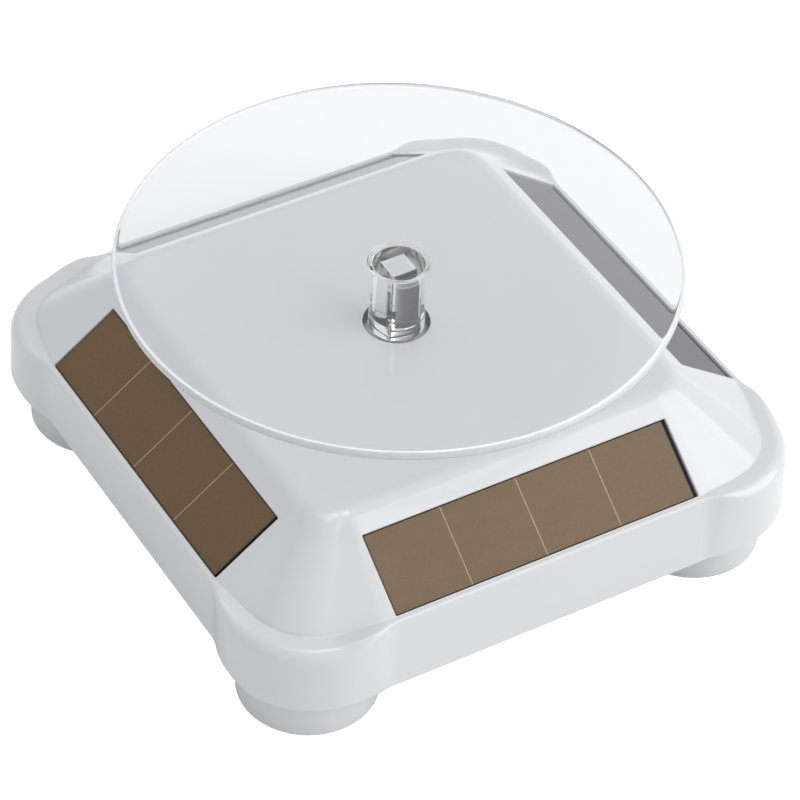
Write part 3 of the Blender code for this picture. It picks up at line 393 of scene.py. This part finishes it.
# ---- shape kit -------------------------------------------------------------------------------
def build(name, verts, faces, mat=None, smooth=None):
    """Makes a mesh object. smooth is the angle in degrees above which edges stay sharp."""
    mesh = bpy.data.meshes.new(name)
    mesh.from_pydata([tuple(c * MM for c in p) for p in verts], [], [tuple(f) for f in faces])
    mesh.validate()
    work = bmesh.new()
    work.from_mesh(mesh)
    bmesh.ops.recalc_face_normals(work, faces=work.faces[:])
    work.to_mesh(mesh)
    work.free()
    if mat:
        mesh.materials.append(mat)
    obj = bpy.data.objects.new(name, mesh)
    bpy.context.scene.collection.objects.link(obj)
    if smooth is not None:
        mesh.shade_smooth()
        mesh.set_sharp_from_angle(angle=math.radians(smooth))
    return obj


def loft(rings, capped=True, offset=0):
    """Skin over rings of equally many points. offset is the index of the first vertex."""
    n = len(rings[0])
    verts = [tuple(p) for ring in rings for p in ring]
    faces = []
    for i in range(len(rings) - 1):
        low, high = offset + i * n, offset + (i + 1) * n
        for j in range(n):
            k = (j + 1) % n
            faces.append((low + j, low + k, high + k, high + j))
    if capped:
        faces.append(tuple(offset + j for j in reversed(range(n))))
        faces.append(tuple(offset + (len(rings) - 1) * n + j for j in range(n)))
    return verts, faces


def build_solids(name, parts, mat=None, smooth=None):
    """Builds several capped lofts, each a list of rings, as one mesh."""
    verts, faces = [], []
    for rings in parts:
        part_verts, part_faces = loft(rings, offset=len(verts))
        verts += part_verts
        faces += part_faces
    return build(name, verts, faces, mat, smooth)


def circle(centre, radius, z, n):
    angles = [2 * math.pi * k / n for k in range(n)]
    return [(centre[0] + radius * math.cos(a), centre[1] + radius * math.sin(a), z)
            for a in angles]


def turned(centre, profile, n):
    """Rings of a turned shape. profile is a list of (radius, z)."""
    return [circle(centre, radius, z, n) for radius, z in profile]


def rounded(profile, n):
    """Turns (radius, z, corner radius) stations into a (radius, z) profile with round corners."""
    out = []
    for i, (radius, z, corner) in enumerate(profile):
        if not corner:
            out.append((radius, z))
            continue
        here, before, after = (np.array(q[:2], float)
                               for q in (profile[i], profile[i - 1], profile[i + 1]))
        to_before, to_after = before - here, after - here
        length_before, length_after = np.linalg.norm(to_before), np.linalg.norm(to_after)
        reach = min(corner, 0.49 * length_before, 0.49 * length_after)
        to_before, to_after = to_before / length_before, to_after / length_after
        for k in range(n + 1):
            t = k / n
            out.append(tuple(here + to_before * reach * (1 - t) ** 2 + to_after * reach * t * t))
    return out


def around(centre, half):
    return centre - half, centre + half


def box(x, y, z):
    corners = [(x[0], y[0]), (x[1], y[0]), (x[1], y[1]), (x[0], y[1])]
    return [[(a, b, level) for a, b in corners] for level in z]


def round_rect(x, y, radius, n):
    """Outline of a rectangle with round corners."""
    left, right, low, high = x[0] + radius, x[1] - radius, y[0] + radius, y[1] - radius
    out = []
    for cx, cy, start in ((right, high, 0), (left, high, 90), (left, low, 180), (right, low, 270)):
        for k in range(n + 1):
            a = math.radians(start + 90 * k / n)
            out.append((cx + radius * math.cos(a), cy + radius * math.sin(a)))
    return out


def tile(x, y, z, radius, edge):
    """A flat block with round corners and softened upper and lower edges, as rings."""
    soft = 0.3 * edge
    levels = ((edge, z[0]), (soft, z[0] + soft), (0, z[0] + edge),
              (0, z[1] - edge), (soft, z[1] - soft), (edge, z[1]))
    return [[(a, b, level) for a, b in round_rect(
        (x[0] + inset, x[1] - inset), (y[0] + inset, y[1] - inset),
        max(0.02, radius - inset * 0.5), 4)] for inset, level in levels]


def square_rings(levels, n):
    """Square rings round the spin axis. levels is a list of (half width, z)."""
    return [[(a, b, z) for a, b in round_rect((-half, half), (-half, half), 0.12, n)]
            for half, z in levels]


def combine(obj, other, operation="DIFFERENCE"):
    """Applies a boolean to obj and removes the other object."""
    modifier = obj.modifiers.new("shape", "BOOLEAN")
    modifier.operation = operation
    modifier.object = other
    modifier.solver = "EXACT"
    bpy.context.view_layer.update()
    graph = bpy.context.evaluated_depsgraph_get()
    mesh = bpy.data.meshes.new_from_object(obj.evaluated_get(graph))
    obj.modifiers.clear()
    obj.data = mesh
    bpy.data.objects.remove(other)


def merge(obj, groups, operation):
    """Adds or cuts groups of shapes. The shapes of one group stand apart from each other."""
    for group in groups:
        combine(obj, build_solids("tool", group), operation)


def dress(obj, mat, angle):
    """Gives a mesh one material and smooth shading up to the angle in degrees."""
    obj.data.materials.clear()
    obj.data.materials.append(mat)
    for polygon in obj.data.polygons:
        polygon.material_index = 0
    obj.data.shade_smooth()
    obj.data.set_sharp_from_angle(angle=math.radians(angle))
    keep_normals(obj).weight = 60


def attach(obj, carrier):
    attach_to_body(obj, carrier)


def rotated(points, quarter):
    """Turns points round the spin axis by quarter turns."""
    c, s = [(1, 0), (0, 1), (-1, 0), (0, -1)][quarter]
    return [(c * x - s * y, s * x + c * y, z) for x, y, z in points]


# ---- outline of the base ---------------------------------------------------------------------
# An eighth of each ring runs from the middle of a side to a corner, in four stretches. Its points
# are (stretch, share of the stretch passed), so every ring has matching points.
STRETCHES = (("side", 6), ("blend", 8), ("low", 14), ("high", 12))
EIGHTH = [(kind, k / steps) for kind, steps in STRETCHES for k in range(steps)] + [("high", 1.0)]
ARC_SPLIT = math.radians(17)          # where the low part of the lobe's arc meets the high part
BLEND_X = WALL_HALF + BLEND_R
BLEND_Y = LOBE_CENTRE - math.sqrt((LOBE_R + BLEND_R) ** 2 - (BLEND_X - LOBE_CENTRE) ** 2)
ARC_START = -math.atan2(LOBE_CENTRE - BLEND_Y, BLEND_X - LOBE_CENTRE)
SLOPE_STRAIGHT, SLOPE_BEND, TOP_STRAIGHT = 30.0, 31.9, 29.5


def mix(a, b, share):
    return a + (b - a) * share


def smooth_step(t):
    t = min(1.0, max(0.0, t))
    return t * t * (3 - 2 * t)


def lobe_share(kind, t):
    """How far a point belongs to the lobe: 0 on the side, 1 at the corner."""
    return {"side": 0.0, "blend": 0.0, "low": smooth_step(t), "high": 1.0}[kind]


def curve_share(kind, t):
    """Share passed of the blend and low stretches taken as one curve."""
    return 0.35 * t if kind == "blend" else 0.35 + 0.65 * t


def wall_point(kind, t, inset):
    if kind == "side":
        return WALL_HALF - inset, BLEND_Y * t
    if kind == "blend":
        a = math.pi + ARC_START * t
        radius = BLEND_R + inset
        return BLEND_X + radius * math.cos(a), BLEND_Y + radius * math.sin(a)
    a = mix(ARC_START, ARC_SPLIT, t) if kind == "low" else mix(ARC_SPLIT, math.pi / 4, t)
    radius = LOBE_R - inset
    return LOBE_CENTRE + radius * math.cos(a), LOBE_CENTRE + radius * math.sin(a)


def slope_point(kind, t, inset):
    if kind == "side":
        return SLOPE_HALF - inset, SLOPE_STRAIGHT * t
    if kind == "high":
        a = mix(ARC_SPLIT, math.pi / 4, t)
        radius = CONE_R - inset
        return LOBE_CENTRE + radius * math.cos(a), LOBE_CENTRE + radius * math.sin(a)
    # a quadratic curve from the straight side to the cone
    start, bend = (SLOPE_HALF, SLOPE_STRAIGHT), (SLOPE_HALF, SLOPE_BEND)
    end = (LOBE_CENTRE + CONE_R * math.cos(ARC_SPLIT), LOBE_CENTRE + CONE_R * math.sin(ARC_SPLIT))
    u = curve_share(kind, t)
    x, y = ((1 - u) ** 2 * start[k] + 2 * u * (1 - u) * bend[k] + u * u * end[k] for k in (0, 1))
    dx, dy = (2 * (1 - u) * (bend[k] - start[k]) + 2 * u * (end[k] - bend[k]) for k in (0, 1))
    length = math.hypot(dx, dy)
    return x - inset * dy / length, y + inset * dx / length


def top_point(kind, t, half, corner):
    centre = half - corner
    if kind == "side":
        return half, TOP_STRAIGHT * t
    if kind == "high":
        a = math.pi / 4 * t
        return centre + corner * math.cos(a), centre + corner * math.sin(a)
    return half, mix(TOP_STRAIGHT, centre, curve_share(kind, t))


def full_ring(point):
    """Mirrors and turns the eighth given by point(kind, t) into a whole ring."""
    part = [point(kind, t) for kind, t in EIGHTH]
    quadrant = part + [(y, x, z) for x, y, z in reversed(part[1:-1])]
    return [p for quarter in range(4) for p in rotated(quadrant, quarter)]


def ring_shares():
    """The lobe share of each point of a whole ring."""
    part = [lobe_share(kind, t) for kind, t in EIGHTH]
    return (part + part[-2:0:-1]) * 4


def wall_ring(inset, z):
    """Ring in the wall. inset and z are numbers or functions of the lobe share."""
    def at(value, share):
        return value(share) if callable(value) else value

    def point(kind, t):
        share = lobe_share(kind, t)
        return (*wall_point(kind, t, at(inset, share)), at(z, share))

    return full_ring(point)


def slope_ring(inset, z_side, z_lobe):
    return full_ring(lambda kind, t: (*slope_point(kind, t, inset),
                                      mix(z_side, z_lobe, lobe_share(kind, t))))


def top_ring(half, corner, z):
    return full_ring(lambda kind, t: (*top_point(kind, t, half, corner), z))


def bend_rings(before, corner, after, reach, n):
    """Rounds the fold at the ring corner. reach(lobe share) is how far the rounding spreads."""
    out = [[] for _ in range(n + 1)]
    for share, *points in zip(ring_shares(), before, corner, after):
        a, c, b = (np.array(p) for p in points)
        length_a, length_b = np.linalg.norm(a - c), np.linalg.norm(b - c)
        spread = reach(share)
        start = c + (a - c) / max(length_a, 1e-9) * min(spread, 0.46 * length_a)
        end = c + (b - c) / max(length_b, 1e-9) * min(spread, 0.46 * length_b)
        for k in range(n + 1):
            t = k / n
            out[k].append(tuple(start * (1 - t) ** 2 + c * 2 * t * (1 - t) + end * t * t))
    return out


def lean(ring, share_x, share_y):
    """Moves the x walls and the y walls by shares of their lean, fading over the lobes."""
    out = []
    for x, y, z in ring:
        lead = abs(x) - abs(y)
        if lead > 0:
            x += math.copysign(1, x) * share_x * LEAN[0] * smooth_step((lead - 4.0) / 14.0)
        else:
            y += math.copysign(1, y) * share_y * LEAN[1] * smooth_step((-lead - 17.0) / 7.5)
        out.append((x, y, z))
    return out


def in_slope(u, s, depth, quarter, radius, n=3):
    """A rectangle with round corners, lying in the slope at a depth below its surface."""
    cos, sin = math.cos(SLOPE_ANGLE), math.sin(SLOPE_ANGLE)
    return rotated([(a, -SLOPE_HALF + b * cos + depth * sin, Z_SLOPE + b * sin - depth * cos)
                    for a, b in round_rect(u, s, radius, n)], quarter)


def slope_block(u, s, levels, quarter, radius, n=3):
    """Rings of a block in the slope. levels is a list of (inset, depth)."""
    return [in_slope((u[0] + e, u[1] - e), (s[0] + e, s[1] - e), depth, quarter, radius, n)
            for e, depth in levels]


# ---- upper housing ---------------------------------------------------------------------------
def housing_outside():
    """Outer rings, from the foot of the wall up to the flat top."""
    def wall_top(share):
        return mix(Z_SLOPE, Z_LEDGE, share)

    def fillet(share):
        return mix(0.6, 2.4, share)

    # softened lower edge, as (inset, height), then the leaning wall
    edge = ((0.45, 0.0), (0.14, 0.1), (0.02, 0.45))
    edge_top = Z_BOTTOM + edge[-1][1]
    rings = [lean(wall_ring(inset - FLARE, Z_BOTTOM + z), 1, 1) for inset, z in edge]
    for k in (1, 2):
        left = 1 - k / 3
        rings.append(lean(wall_ring(-FLARE * left, lambda share: mix(
            edge_top, wall_top(share) - fillet(share), k / 3)), left, left))
    steps = 9
    for k in range(steps + 1):
        a = math.pi / 2 * k / steps
        rings.append(wall_ring(lambda share: fillet(share) * (1 - math.cos(a)),
                               lambda share: wall_top(share) - fillet(share) * (1 - math.sin(a))))
    ledge = rings[-1]
    # a small step runs round the foot of each corner cone
    base = slope_ring(-0.25, Z_SLOPE, Z_LEDGE + 0.02)
    foot = slope_ring(0.0, Z_SLOPE + 0.03, Z_LEDGE + 0.36)
    crown = top_ring(TOP_HALF, TOP_CORNER_R, Z_TOP)
    flat = top_ring(33.2, 2.6, Z_TOP)
    rings += bend_rings(ledge, base, foot, lambda share: mix(0.1, 0.3, share), 3)
    rings += bend_rings(base, foot, crown, lambda share: mix(0.15, 0.35, share), 4)
    rings += bend_rings(foot, crown, flat, lambda share: mix(1.5, 2.9, share), 8)
    return rings + [flat]


def housing_inside():
    """Inner rings, from the ceiling down to the foot of the wall."""
    return [
        top_ring(33.0, 2.4, Z_TOP - SKIN), top_ring(35.0, 2.9, Z_TOP - SKIN),
        slope_ring(1.5, 21.7, 20.2), wall_ring(SKIN, lambda share: mix(21.4, 20.1, share)),
        lean(wall_ring(SKIN - FLARE, Z_BOTTOM), 1, 1),
    ]


def window_rings(quarter):
    """Recess for a panel, with a softened rim and a smaller opening through its floor."""
    low, high = WINDOW_S
    levels = (   # half width, s range, depth, corner radius
        (WINDOW_HALF + 0.20, (low - 0.02, high + 0.20), -2.5, 0.35),
        (WINDOW_HALF + 0.16, (low - 0.02, high + 0.16), -0.02, 0.35),
        (WINDOW_HALF, WINDOW_S, 0.12, 0.2),
        (WINDOW_HALF, WINDOW_S, RECESS_DEPTH, 0.2),
        (OPENING_HALF, OPENING_S, RECESS_DEPTH + 0.005, 0.2),
        (OPENING_HALF, OPENING_S, 5.0, 0.2))
    return [in_slope((-half, half), s, depth, quarter, radius)
            for half, s, depth, radius in levels]


def housing_shell():
    outside, inside = housing_outside(), housing_inside()
    n = len(outside[0])
    verts, faces = loft(outside, capped=False)
    top, roof = len(verts) - n, len(verts)
    inner_verts, inner_faces = loft(inside, capped=False, offset=roof)
    verts += inner_verts
    faces += inner_faces
    faces.append(tuple(top + j for j in range(n)))
    faces.append(tuple(roof + j for j in reversed(range(n))))
    last = len(verts) - n
    faces += [(last + j, last + (j + 1) % n, (j + 1) % n, j) for j in range(n)]
    shell = build("housing_shell", verts, faces)
    work = bmesh.new()
    work.from_mesh(shell.data)
    bmesh.ops.triangulate(work, faces=[face for face in work.faces if len(face.verts) == 4])
    work.to_mesh(shell.data)
    work.free()

    combine(shell, build_solids("cutter", [window_rings(quarter) for quarter in range(4)]))
    hole = [(HUB_HOLE_R + 0.25, 36), (HUB_HOLE_R + 0.25, Z_TOP + 0.05),
            (HUB_HOLE_R + 0.05, Z_TOP - 0.12), (HUB_HOLE_R, Z_TOP - 0.3), (HUB_HOLE_R, 31.0)]
    combine(shell, build_solids("cutter", [turned((0, 0), hole, 96)]))
    dress(shell, WHITE, 34)
    # painted shade: the walls of the hub's hole take the near black colour
    shell.data.materials.append(HOLE_PAINTED_SHADE)
    for polygon in shell.data.polygons:
        x, y, z = polygon.center
        in_hole = math.hypot(x, y) < (HUB_HOLE_R + 0.2) * MM and z < (Z_TOP - 0.01) * MM
        if in_hole and abs(polygon.normal[2]) < 0.9:
            polygon.material_index = 1
    return shell


def housing_posts():
    """A post over each foot. Its upper end follows the cone above, a little below its surface."""
    cone_foot, cone_rise, below = 65.6, 0.79, 1.3
    parts = []
    for foot in FEET:
        rings = turned(foot, [(3.2, 12.8), (3.25, 13.2)], 32)
        rings.append([
            (x, y, Z_LEDGE + (cone_foot - (abs(x) + abs(y)) / math.sqrt(2)) * cone_rise - below)
            for x, y, _ in circle(foot, 3.3, 0, 32)])
        parts.append(rings)
    return build_solids("housing_posts", parts, WHITE, 35)


def hub_collar():
    """Ring under the flat top, round the hub's hole."""
    profile = [(7.6, 32.9), (7.6, 32.1), (7.4, 31.9), (6.1, 31.9), (5.9, 32.1), (5.85, 33.4)]
    # painted shade: the ring is coloured near black for the shade inside the hole
    return build("hub_collar", *loft(turned((0, 0), profile, 96), capped=False), HOLE_PAINTED_SHADE, 35)


shell = housing_shell()
attach(shell, "base")
for fitting in (housing_posts(), hub_collar()):
    attach(fitting, "base")
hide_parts("upper_housing")


# ---- bottom cover, with its feet -------------------------------------------------------------
def at_feet(profile, n):
    return [turned(foot, profile, n) for foot in FEET]


def cover_additions():
    foot = rounded([(10.6, 0.0, 0), (FOOT_R, 0.0, 0.7), (FOOT_R, ROOT_Z, 0)], 6)
    tub = tile((BAY_X[0] - 1.2, BAY_X[1] + 1.2), (BAY_Y[0] - 1.0, BAY_Y[1] + 1.0),
               (ROOT_Z, BAY_TOP + 1.2), 1.0, 0.25)
    return [
        at_feet(foot, 96),
        [tub],
        # bosses of the axles and the motor
        [turned(OUTPUT_AXLE, [(4.2, ROOT_Z), (4.0, 15.8), (3.8, 16.0)], 48)],
        [turned(axle, [(2.6, ROOT_Z), (2.6, 15.7), (2.5, 15.8)], 40) for axle in (AXLE_1, AXLE_2)],
        [turned(MOTOR_AXLE, [(13.4, ROOT_Z), (13.4, 16.8), (13.2, 17.0)], 96)],
        # pillars and board posts
        [turned(place, [(2.9, ROOT_Z), (2.5, 29.3)], 40) for place in PILLARS],
        [turned(place, [(2.2, ROOT_Z), (2.0, 16.9)], 32) for place in BOARD_POSTS],
    ]


def hinge_hole(side):
    angles = [2 * math.pi * k / 24 for k in range(24)]
    return [[(x, HINGE_Y + HINGE_R * math.cos(a), HINGE_Z + HINGE_R * math.sin(a))
             for a in angles] for x in sorted((side * 27.0, side * 29.0))]


def cover_cuts():
    beside_cell, slot_z = (CELL_Y + 4.0, CELL_Y + 6.6), (15.2, 18.4)
    return [
        # inside each foot: the mouth, the screw's counterbore and its hole
        at_feet([(6.01, -1.0), (6.01, 3.0)], 48),
        at_feet([(3.55, 2.9), (3.4, 3.15), (3.4, 8.2)], 40),
        at_feet([(1.7, 8.0), (1.7, 14.0)], 24),
        # the bay, the door's opening, a round notch behind it and the hinge holes
        [tile(BAY_X, BAY_Y, (13.6, BAY_TOP), 0.6, 0.2)],
        [box((DOOR_X[0] - 0.3, DOOR_X[1] + 0.3), (DOOR_Y[0] - 0.6, DOOR_Y[1] + 0.3), (9, 15))],
        [turned((0, DOOR_Y[1] + 1.6), [(4.3, 9), (4.3, 10.4), (4.15, 10.6), (4.0, 11.2)], 48)],
        [hinge_hole(side) for side in (-1, 1)],
        # bores of the axles, and the motor's seat with a gap in its wall
        [turned(OUTPUT_AXLE, [(2.07, 13.0), (2.07, 18)], 48)],
        [turned(axle, [(1.05, 13.0), (1.05, 18)], 32) for axle in (AXLE_1, AXLE_2)],
        [turned(MOTOR_AXLE, [(12.4, 12.4), (12.4, 19)], 96)],
        [box((MOTOR_AXLE[0] + 8, MOTOR_AXLE[0] + 15), (MOTOR_AXLE[1] - 9, MOTOR_AXLE[1] - 3),
             (12.45, 19))],
        # screw holes in the pillars and board posts
        [turned(place, [(1.0, 23), (1.0, 31)], 24) for place in PILLARS],
        [turned(place, [(0.9, 13), (0.9, 18)], 24) for place in BOARD_POSTS],
        # the switch: an opening within a wider recess
        [tile(around(SWITCH_X, 2.9), around(SWITCH_Y, 1.2), (9, 13.5), 0.3, 0.01)],
        [tile(around(SWITCH_X, 4.6), around(SWITCH_Y, 2.4), (9, 11.1), 0.8, 0.01)],
        # slots through the right and left ends of the bay
        [box((28.0, 30.5), beside_cell, slot_z)],
        [box((-31.5, -28.8), beside_cell, slot_z)],
    ]


def bottom_cover():
    outline = lean(wall_ring(SKIN + 0.3 - 0.8 * FLARE, 0), 0.97, 0.77)
    cover = build_solids("cover", [[[(x, y, z) for x, y, _ in outline] for z in PLATE_Z]])
    merge(cover, cover_additions(), "UNION")
    # the hollow of each foot, round its screw tube
    hollow = [(9.8, -1.0), (9.8, 8.2), (9.6, 8.4), (4.9, 8.4),
              (5.1, 3.2), (5.3, 3.0), (6.0, 3.0), (6.0, -1.0)]
    for rings in at_feet(hollow, 64):
        combine(cover, build("tool", *loft(rings + [rings[0]], capped=False)))
    merge(cover, cover_cuts(), "DIFFERENCE")
    dress(cover, WHITE_SATIN, 32)
    return cover


cover = bottom_cover()
attach(cover, "base")
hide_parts("bottom_cover")

# ---- solar panels ----------------------------------------------------------------------------
CELL_COUNT = 4
SCRIBE_W = 0.16               # width of the bright line between two cells
CELL_MARGIN = 0.1             # clear margin at each end of the row of cells
PANEL_BACK = FACE_DEPTH + PANEL_T
FOAM_FLOOR = RECESS_DEPTH - 0.05


def panel_face(quarter, side):
    """Slab with a row of cells on it and a bright line between each pair."""
    (u0, u1), (s0, s1) = PANEL_U, PANEL_S
    slab = slope_block(PANEL_U, PANEL_S, (
        (0.05, PANEL_BACK), (0.0, PANEL_BACK - 0.05),
        (0.0, FACE_DEPTH + 0.07), (0.05, FACE_DEPTH + 0.02)), quarter, 0.2)
    back = build_solids(f"panel_slab_{side}", [slab], PANEL_EDGE, 8)
    width = (u1 - u0 - 2 * CELL_MARGIN) / CELL_COUNT
    marks = []
    for k in range(1, CELL_COUNT):
        centre = u0 + CELL_MARGIN + width * k
        marks.append(slope_block(around(centre, SCRIBE_W / 2), (s0 + 0.08, s1 - 0.08), (
            (0, FACE_DEPTH + 0.015), (0, FACE_DEPTH - 0.012)), quarter, 0.02, 1))
    lines = build_solids(f"panel_scribes_{side}", marks, SCRIBE, 8)
    cells = []
    for k in range(CELL_COUNT):
        centre = u0 + CELL_MARGIN + width * (k + 0.5)
        cell_u = (centre - width / 2 + SCRIBE_W / 2, centre + width / 2 - SCRIBE_W / 2)
        cells.append(slope_block(cell_u, (s0 + 0.06, s1 - 0.06), (
            (0.0, FACE_DEPTH + 0.015), (0.0, FACE_DEPTH - 0.005), (0.02, FACE_DEPTH - 0.02)),
            quarter, 0.06, 2))
    film = build_solids(f"panel_cells_{side}", cells, CELLS, 8)
    for obj in (lines, back, film):
        attach(obj, "base")
    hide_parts(f"solar_panel_{side}")


def panel_foam(quarter, side):
    """Foam tape behind the panel, and foam in the gaps round it."""
    (u0, u1), (s0, s1) = PANEL_U, PANEL_S
    near = PANEL_BACK + 0.05
    outer = ((u0 + 0.3, u1 - 0.3), (s0 + 0.2, s1 - 0.2))
    inner = (around(0, OPENING_HALF + 0.1), (OPENING_S[0] - 0.1, OPENING_S[1] + 0.1))
    rings = [in_slope(*outline, depth, quarter, 0.3) for outline, depth in (
        (outer, FOAM_FLOOR), (outer, near), (inner, near), (inner, FOAM_FLOOR))]
    tape = build(f"panel_tape_{side}", *loft(rings + [rings[0]], capped=False), FOAM, 35)
    # packing fills the wide gap at the +u end, and the seal the narrow gaps at the other edges
    end_s = (WINDOW_S[0] + 0.03, WINDOW_S[1] - 0.03)
    edge_u = (u0 + 0.02, u1)
    packing = build_solids(f"panel_packing_{side}", [slope_block(
        (u1 + 0.05, WINDOW_HALF - 0.03), end_s, ((0, FOAM_FLOOR), (0, 0.75), (0, 0.66)),
        quarter, 0.05)], FOAM, 35)
    seal = build_solids(f"panel_seal_{side}", [
        slope_block(u, s, ((0, FOAM_FLOOR), (0, 0.62)), quarter, 0.03) for u, s in (
            (edge_u, (s1 + 0.02, WINDOW_S[1] - 0.02)), (edge_u, (WINDOW_S[0] + 0.02, s0 - 0.02)),
            ((-WINDOW_HALF + 0.02, u0 - 0.02), end_s))], FOAM, 35)
    for obj in (packing, seal, tape):
        attach(obj, "base")
    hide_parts(f"panel_tape_{side}")


for quarter, side in enumerate(("front", "right", "back", "left")):
    panel_face(quarter, side)
    panel_foam(quarter, side)


# ---- disc, hub and drive ---------------------------------------------------------------------
def display_disc():
    """Clear disc with a round rim."""
    low, high = DISC_Z
    middle, rim = (low + high) / 2, (high - low) / 2
    profile = [(6.0, low), (DISC_R - 1.6, low), (DISC_R - rim, low)]
    for k in range(1, 15):
        a = math.radians(-90 + 12 * k)
        profile.append((DISC_R - rim + rim * math.cos(a), middle + rim * math.sin(a)))
    profile += [(DISC_R - rim, high), (DISC_R - 1.6, high), (6.0, high)]
    disc = build_solids("disc", [turned((0, 0), profile, 256)])
    dress(disc, CLEAR_DISC, 60)
    # the rim faces take the painted light of the rim material
    disc.data.materials.append(CLEAR_RIM)
    for polygon in disc.data.polygons:
        x, y, _ = polygon.center
        if math.hypot(x, y) > (DISC_R - rim) * MM and abs(polygon.normal[2]) < 0.985:
            polygon.material_index = 1
    attach(disc, "platter")
    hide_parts("display_disc")


def disc_hub():
    """Clear hub below the disc, with a square socket for the drive."""
    profile = rounded([   # radius, z, corner radius
        (4.85, 34.25, 0), (4.98, 34.4, 0.1), (4.98, 37.0, 0.1), (4.82, 37.15, 0.08),
        (4.55, 47.6, 0.3), (5.55, 47.95, 0.12), (5.55, 48.35, 0.1), (5.4, 48.44, 0)], 4)
    hub = build_solids("hub", [turned((0, 0), profile, 128)])
    socket = ((SOCKET_HALF + 0.25, 33.5), (SOCKET_HALF + 0.1, 34.3), (SOCKET_HALF, 34.6),
              (SOCKET_HALF, 46.5), (SOCKET_HALF - 0.15, 46.7))
    combine(hub, build_solids("cutter", [square_rings(socket, 2)]))
    dress(hub, CLEAR_HUB, 30)
    attach(hub, "platter")
    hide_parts("disc_hub")


def output_drive():
    """Square head of the output shaft and its neck, dressed over the gear moulding."""
    head_levels = ((2.05, 36.95), (2.05, 44.5), (2.0, 44.62), (1.7, 46.3), (1.62, 46.4))
    neck_levels = ((2.22, 33.3), (2.22, 36.8), (2.12, 36.9))
    head = build_solids("drive_head", [square_rings(head_levels, 3)], HEAD_PAINTED_SHADE, 50)
    neck = build_solids("drive_neck", [square_rings(neck_levels, 3)], NECK_PAINTED_SHADE, 50)
    for obj in (neck, head):
        attach(obj, "output")


display_disc()
disc_hub()
output_drive()


# ---- studio ----------------------------------------------------------------------------------
def floor_material():
    """White sweep that lets the camera see through it from below."""
    s = Shader("studio_floor")
    # a little less light comes back through the disc than beside it
    colour = s.mix_colours(s.light_path()["Is Transmission Ray"],
                           (0.88, 0.88, 0.882, 1), (0.79, 0.79, 0.80, 1))
    grain = s.noise(scale=90, detail=4, rough=0.55)
    plain = s.principled(Base_Color=colour, Roughness=0.8,
                         Normal=s.bump(grain, strength=0.02, distance=0.0001))
    # lit a little past white where the camera sees it, so that only a trace of shadow shows
    glow = s.node("ShaderNodeEmission", Color=(1, 1, 1, 1), Strength=0.9)
    both = s.node("ShaderNodeAddShader")
    s.feed(both.inputs[0], plain)
    s.feed(both.inputs[1], glow.outputs["Emission"])
    seen = s.mix_shaders(s.light_path()["Is Camera Ray"], plain, both.outputs["Shader"])
    incoming = s.node("ShaderNodeNewGeometry").outputs["Incoming"]
    from_below = s.math("LESS_THAN", s.axis(incoming, "Z"), 0.0)
    thin = s.node("ShaderNodeBsdfTransparent").outputs["BSDF"]
    return s.done(s.mix_shaders(from_below, seen, thin))


def studio_floor():
    half, z = 3000, -0.15
    corners = [(-half, -half, z), (half, -half, z), (half, half, z), (-half, half, z)]
    return build("studio_floor", corners, [(0, 1, 2, 3)], floor_material())


def area(name, place, target, size, power, colour=(1, 1, 1)):
    """Square area light at place, turned to target. Lengths are in metres."""
    light = bpy.data.lights.new(name, "AREA")
    light.shape = "RECTANGLE"
    light.size = light.size_y = size
    light.energy = power
    light.color = colour
    obj = bpy.data.objects.new(name, light)
    obj.location = place
    obj.rotation_euler = (Vector(target) - Vector(place)).to_track_quat("-Z", "Y").to_euler()
    bpy.context.scene.collection.objects.link(obj)


def studio_world():
    world = bpy.data.worlds.new("studio")
    bpy.context.scene.world = world
    world.use_nodes = True
    background = world.node_tree.nodes["Background"]
    background.inputs["Color"].default_value = (0.972, 0.978, 1.0, 1)
    background.inputs["Strength"].default_value = 0.87


studio_floor()
studio_world()
area("key_right", place=(1.32, -1.12, 1.02), target=(0, 0, 0.02), size=2.0, power=29.0,
     colour=(1.0, 0.995, 0.96))
area("overhead", place=(0.12, 0.0, 1.2), target=(0, 0, 0.03), size=0.45, power=1.9)

# ---- camera ----------------------------------------------------------------------------------
# place of the camera round a pivot on the spin axis; azimuth is measured from the front
AZIMUTH, ELEVATION, ROLL = math.radians(-32.00998), math.radians(43.09008), math.radians(2.53901)
DISTANCE, PIVOT_Z = 673.29357, 8.2
AIM_RIGHT, AIM_UP = 0.00229152, 0.00951752    # turn away from the pivot, as tangents


def unit(vector):
    return vector / np.linalg.norm(vector)


def aim():
    """World matrix of the camera."""
    eye = DISTANCE * np.array([math.sin(AZIMUTH) * math.cos(ELEVATION),
                               -math.cos(AZIMUTH) * math.cos(ELEVATION), math.sin(ELEVATION)])
    forward = unit(-eye)
    level_right = unit(np.cross(forward, (0, 0, 1.0)))
    level_up = np.cross(level_right, forward)
    right = level_right * math.cos(ROLL) + level_up * math.sin(ROLL)
    up = -level_right * math.sin(ROLL) + level_up * math.cos(ROLL)
    forward = unit(forward + AIM_RIGHT * right + AIM_UP * up)
    right = unit(np.cross(forward, up))
    up = np.cross(right, forward)
    matrix = Matrix([(right[k], up[k], -forward[k], 0) for k in range(3)] + [(0, 0, 0, 1)])
    matrix.translation = Vector((eye[0] * MM, eye[1] * MM, (eye[2] + PIVOT_Z) * MM))
    return matrix


cam_data = bpy.data.cameras.new("camera")
cam_data.sensor_width = 36.0
cam_data.lens = 168.8373
cam_data.clip_start = 0.01
cam_data.clip_end = 20
camera = bpy.data.objects.new("camera", cam_data)
bpy.context.scene.collection.objects.link(camera)
camera.matrix_world = aim()
bpy.context.scene.camera = camera
bpy.context.scene.view_settings.view_transform = "Standard"
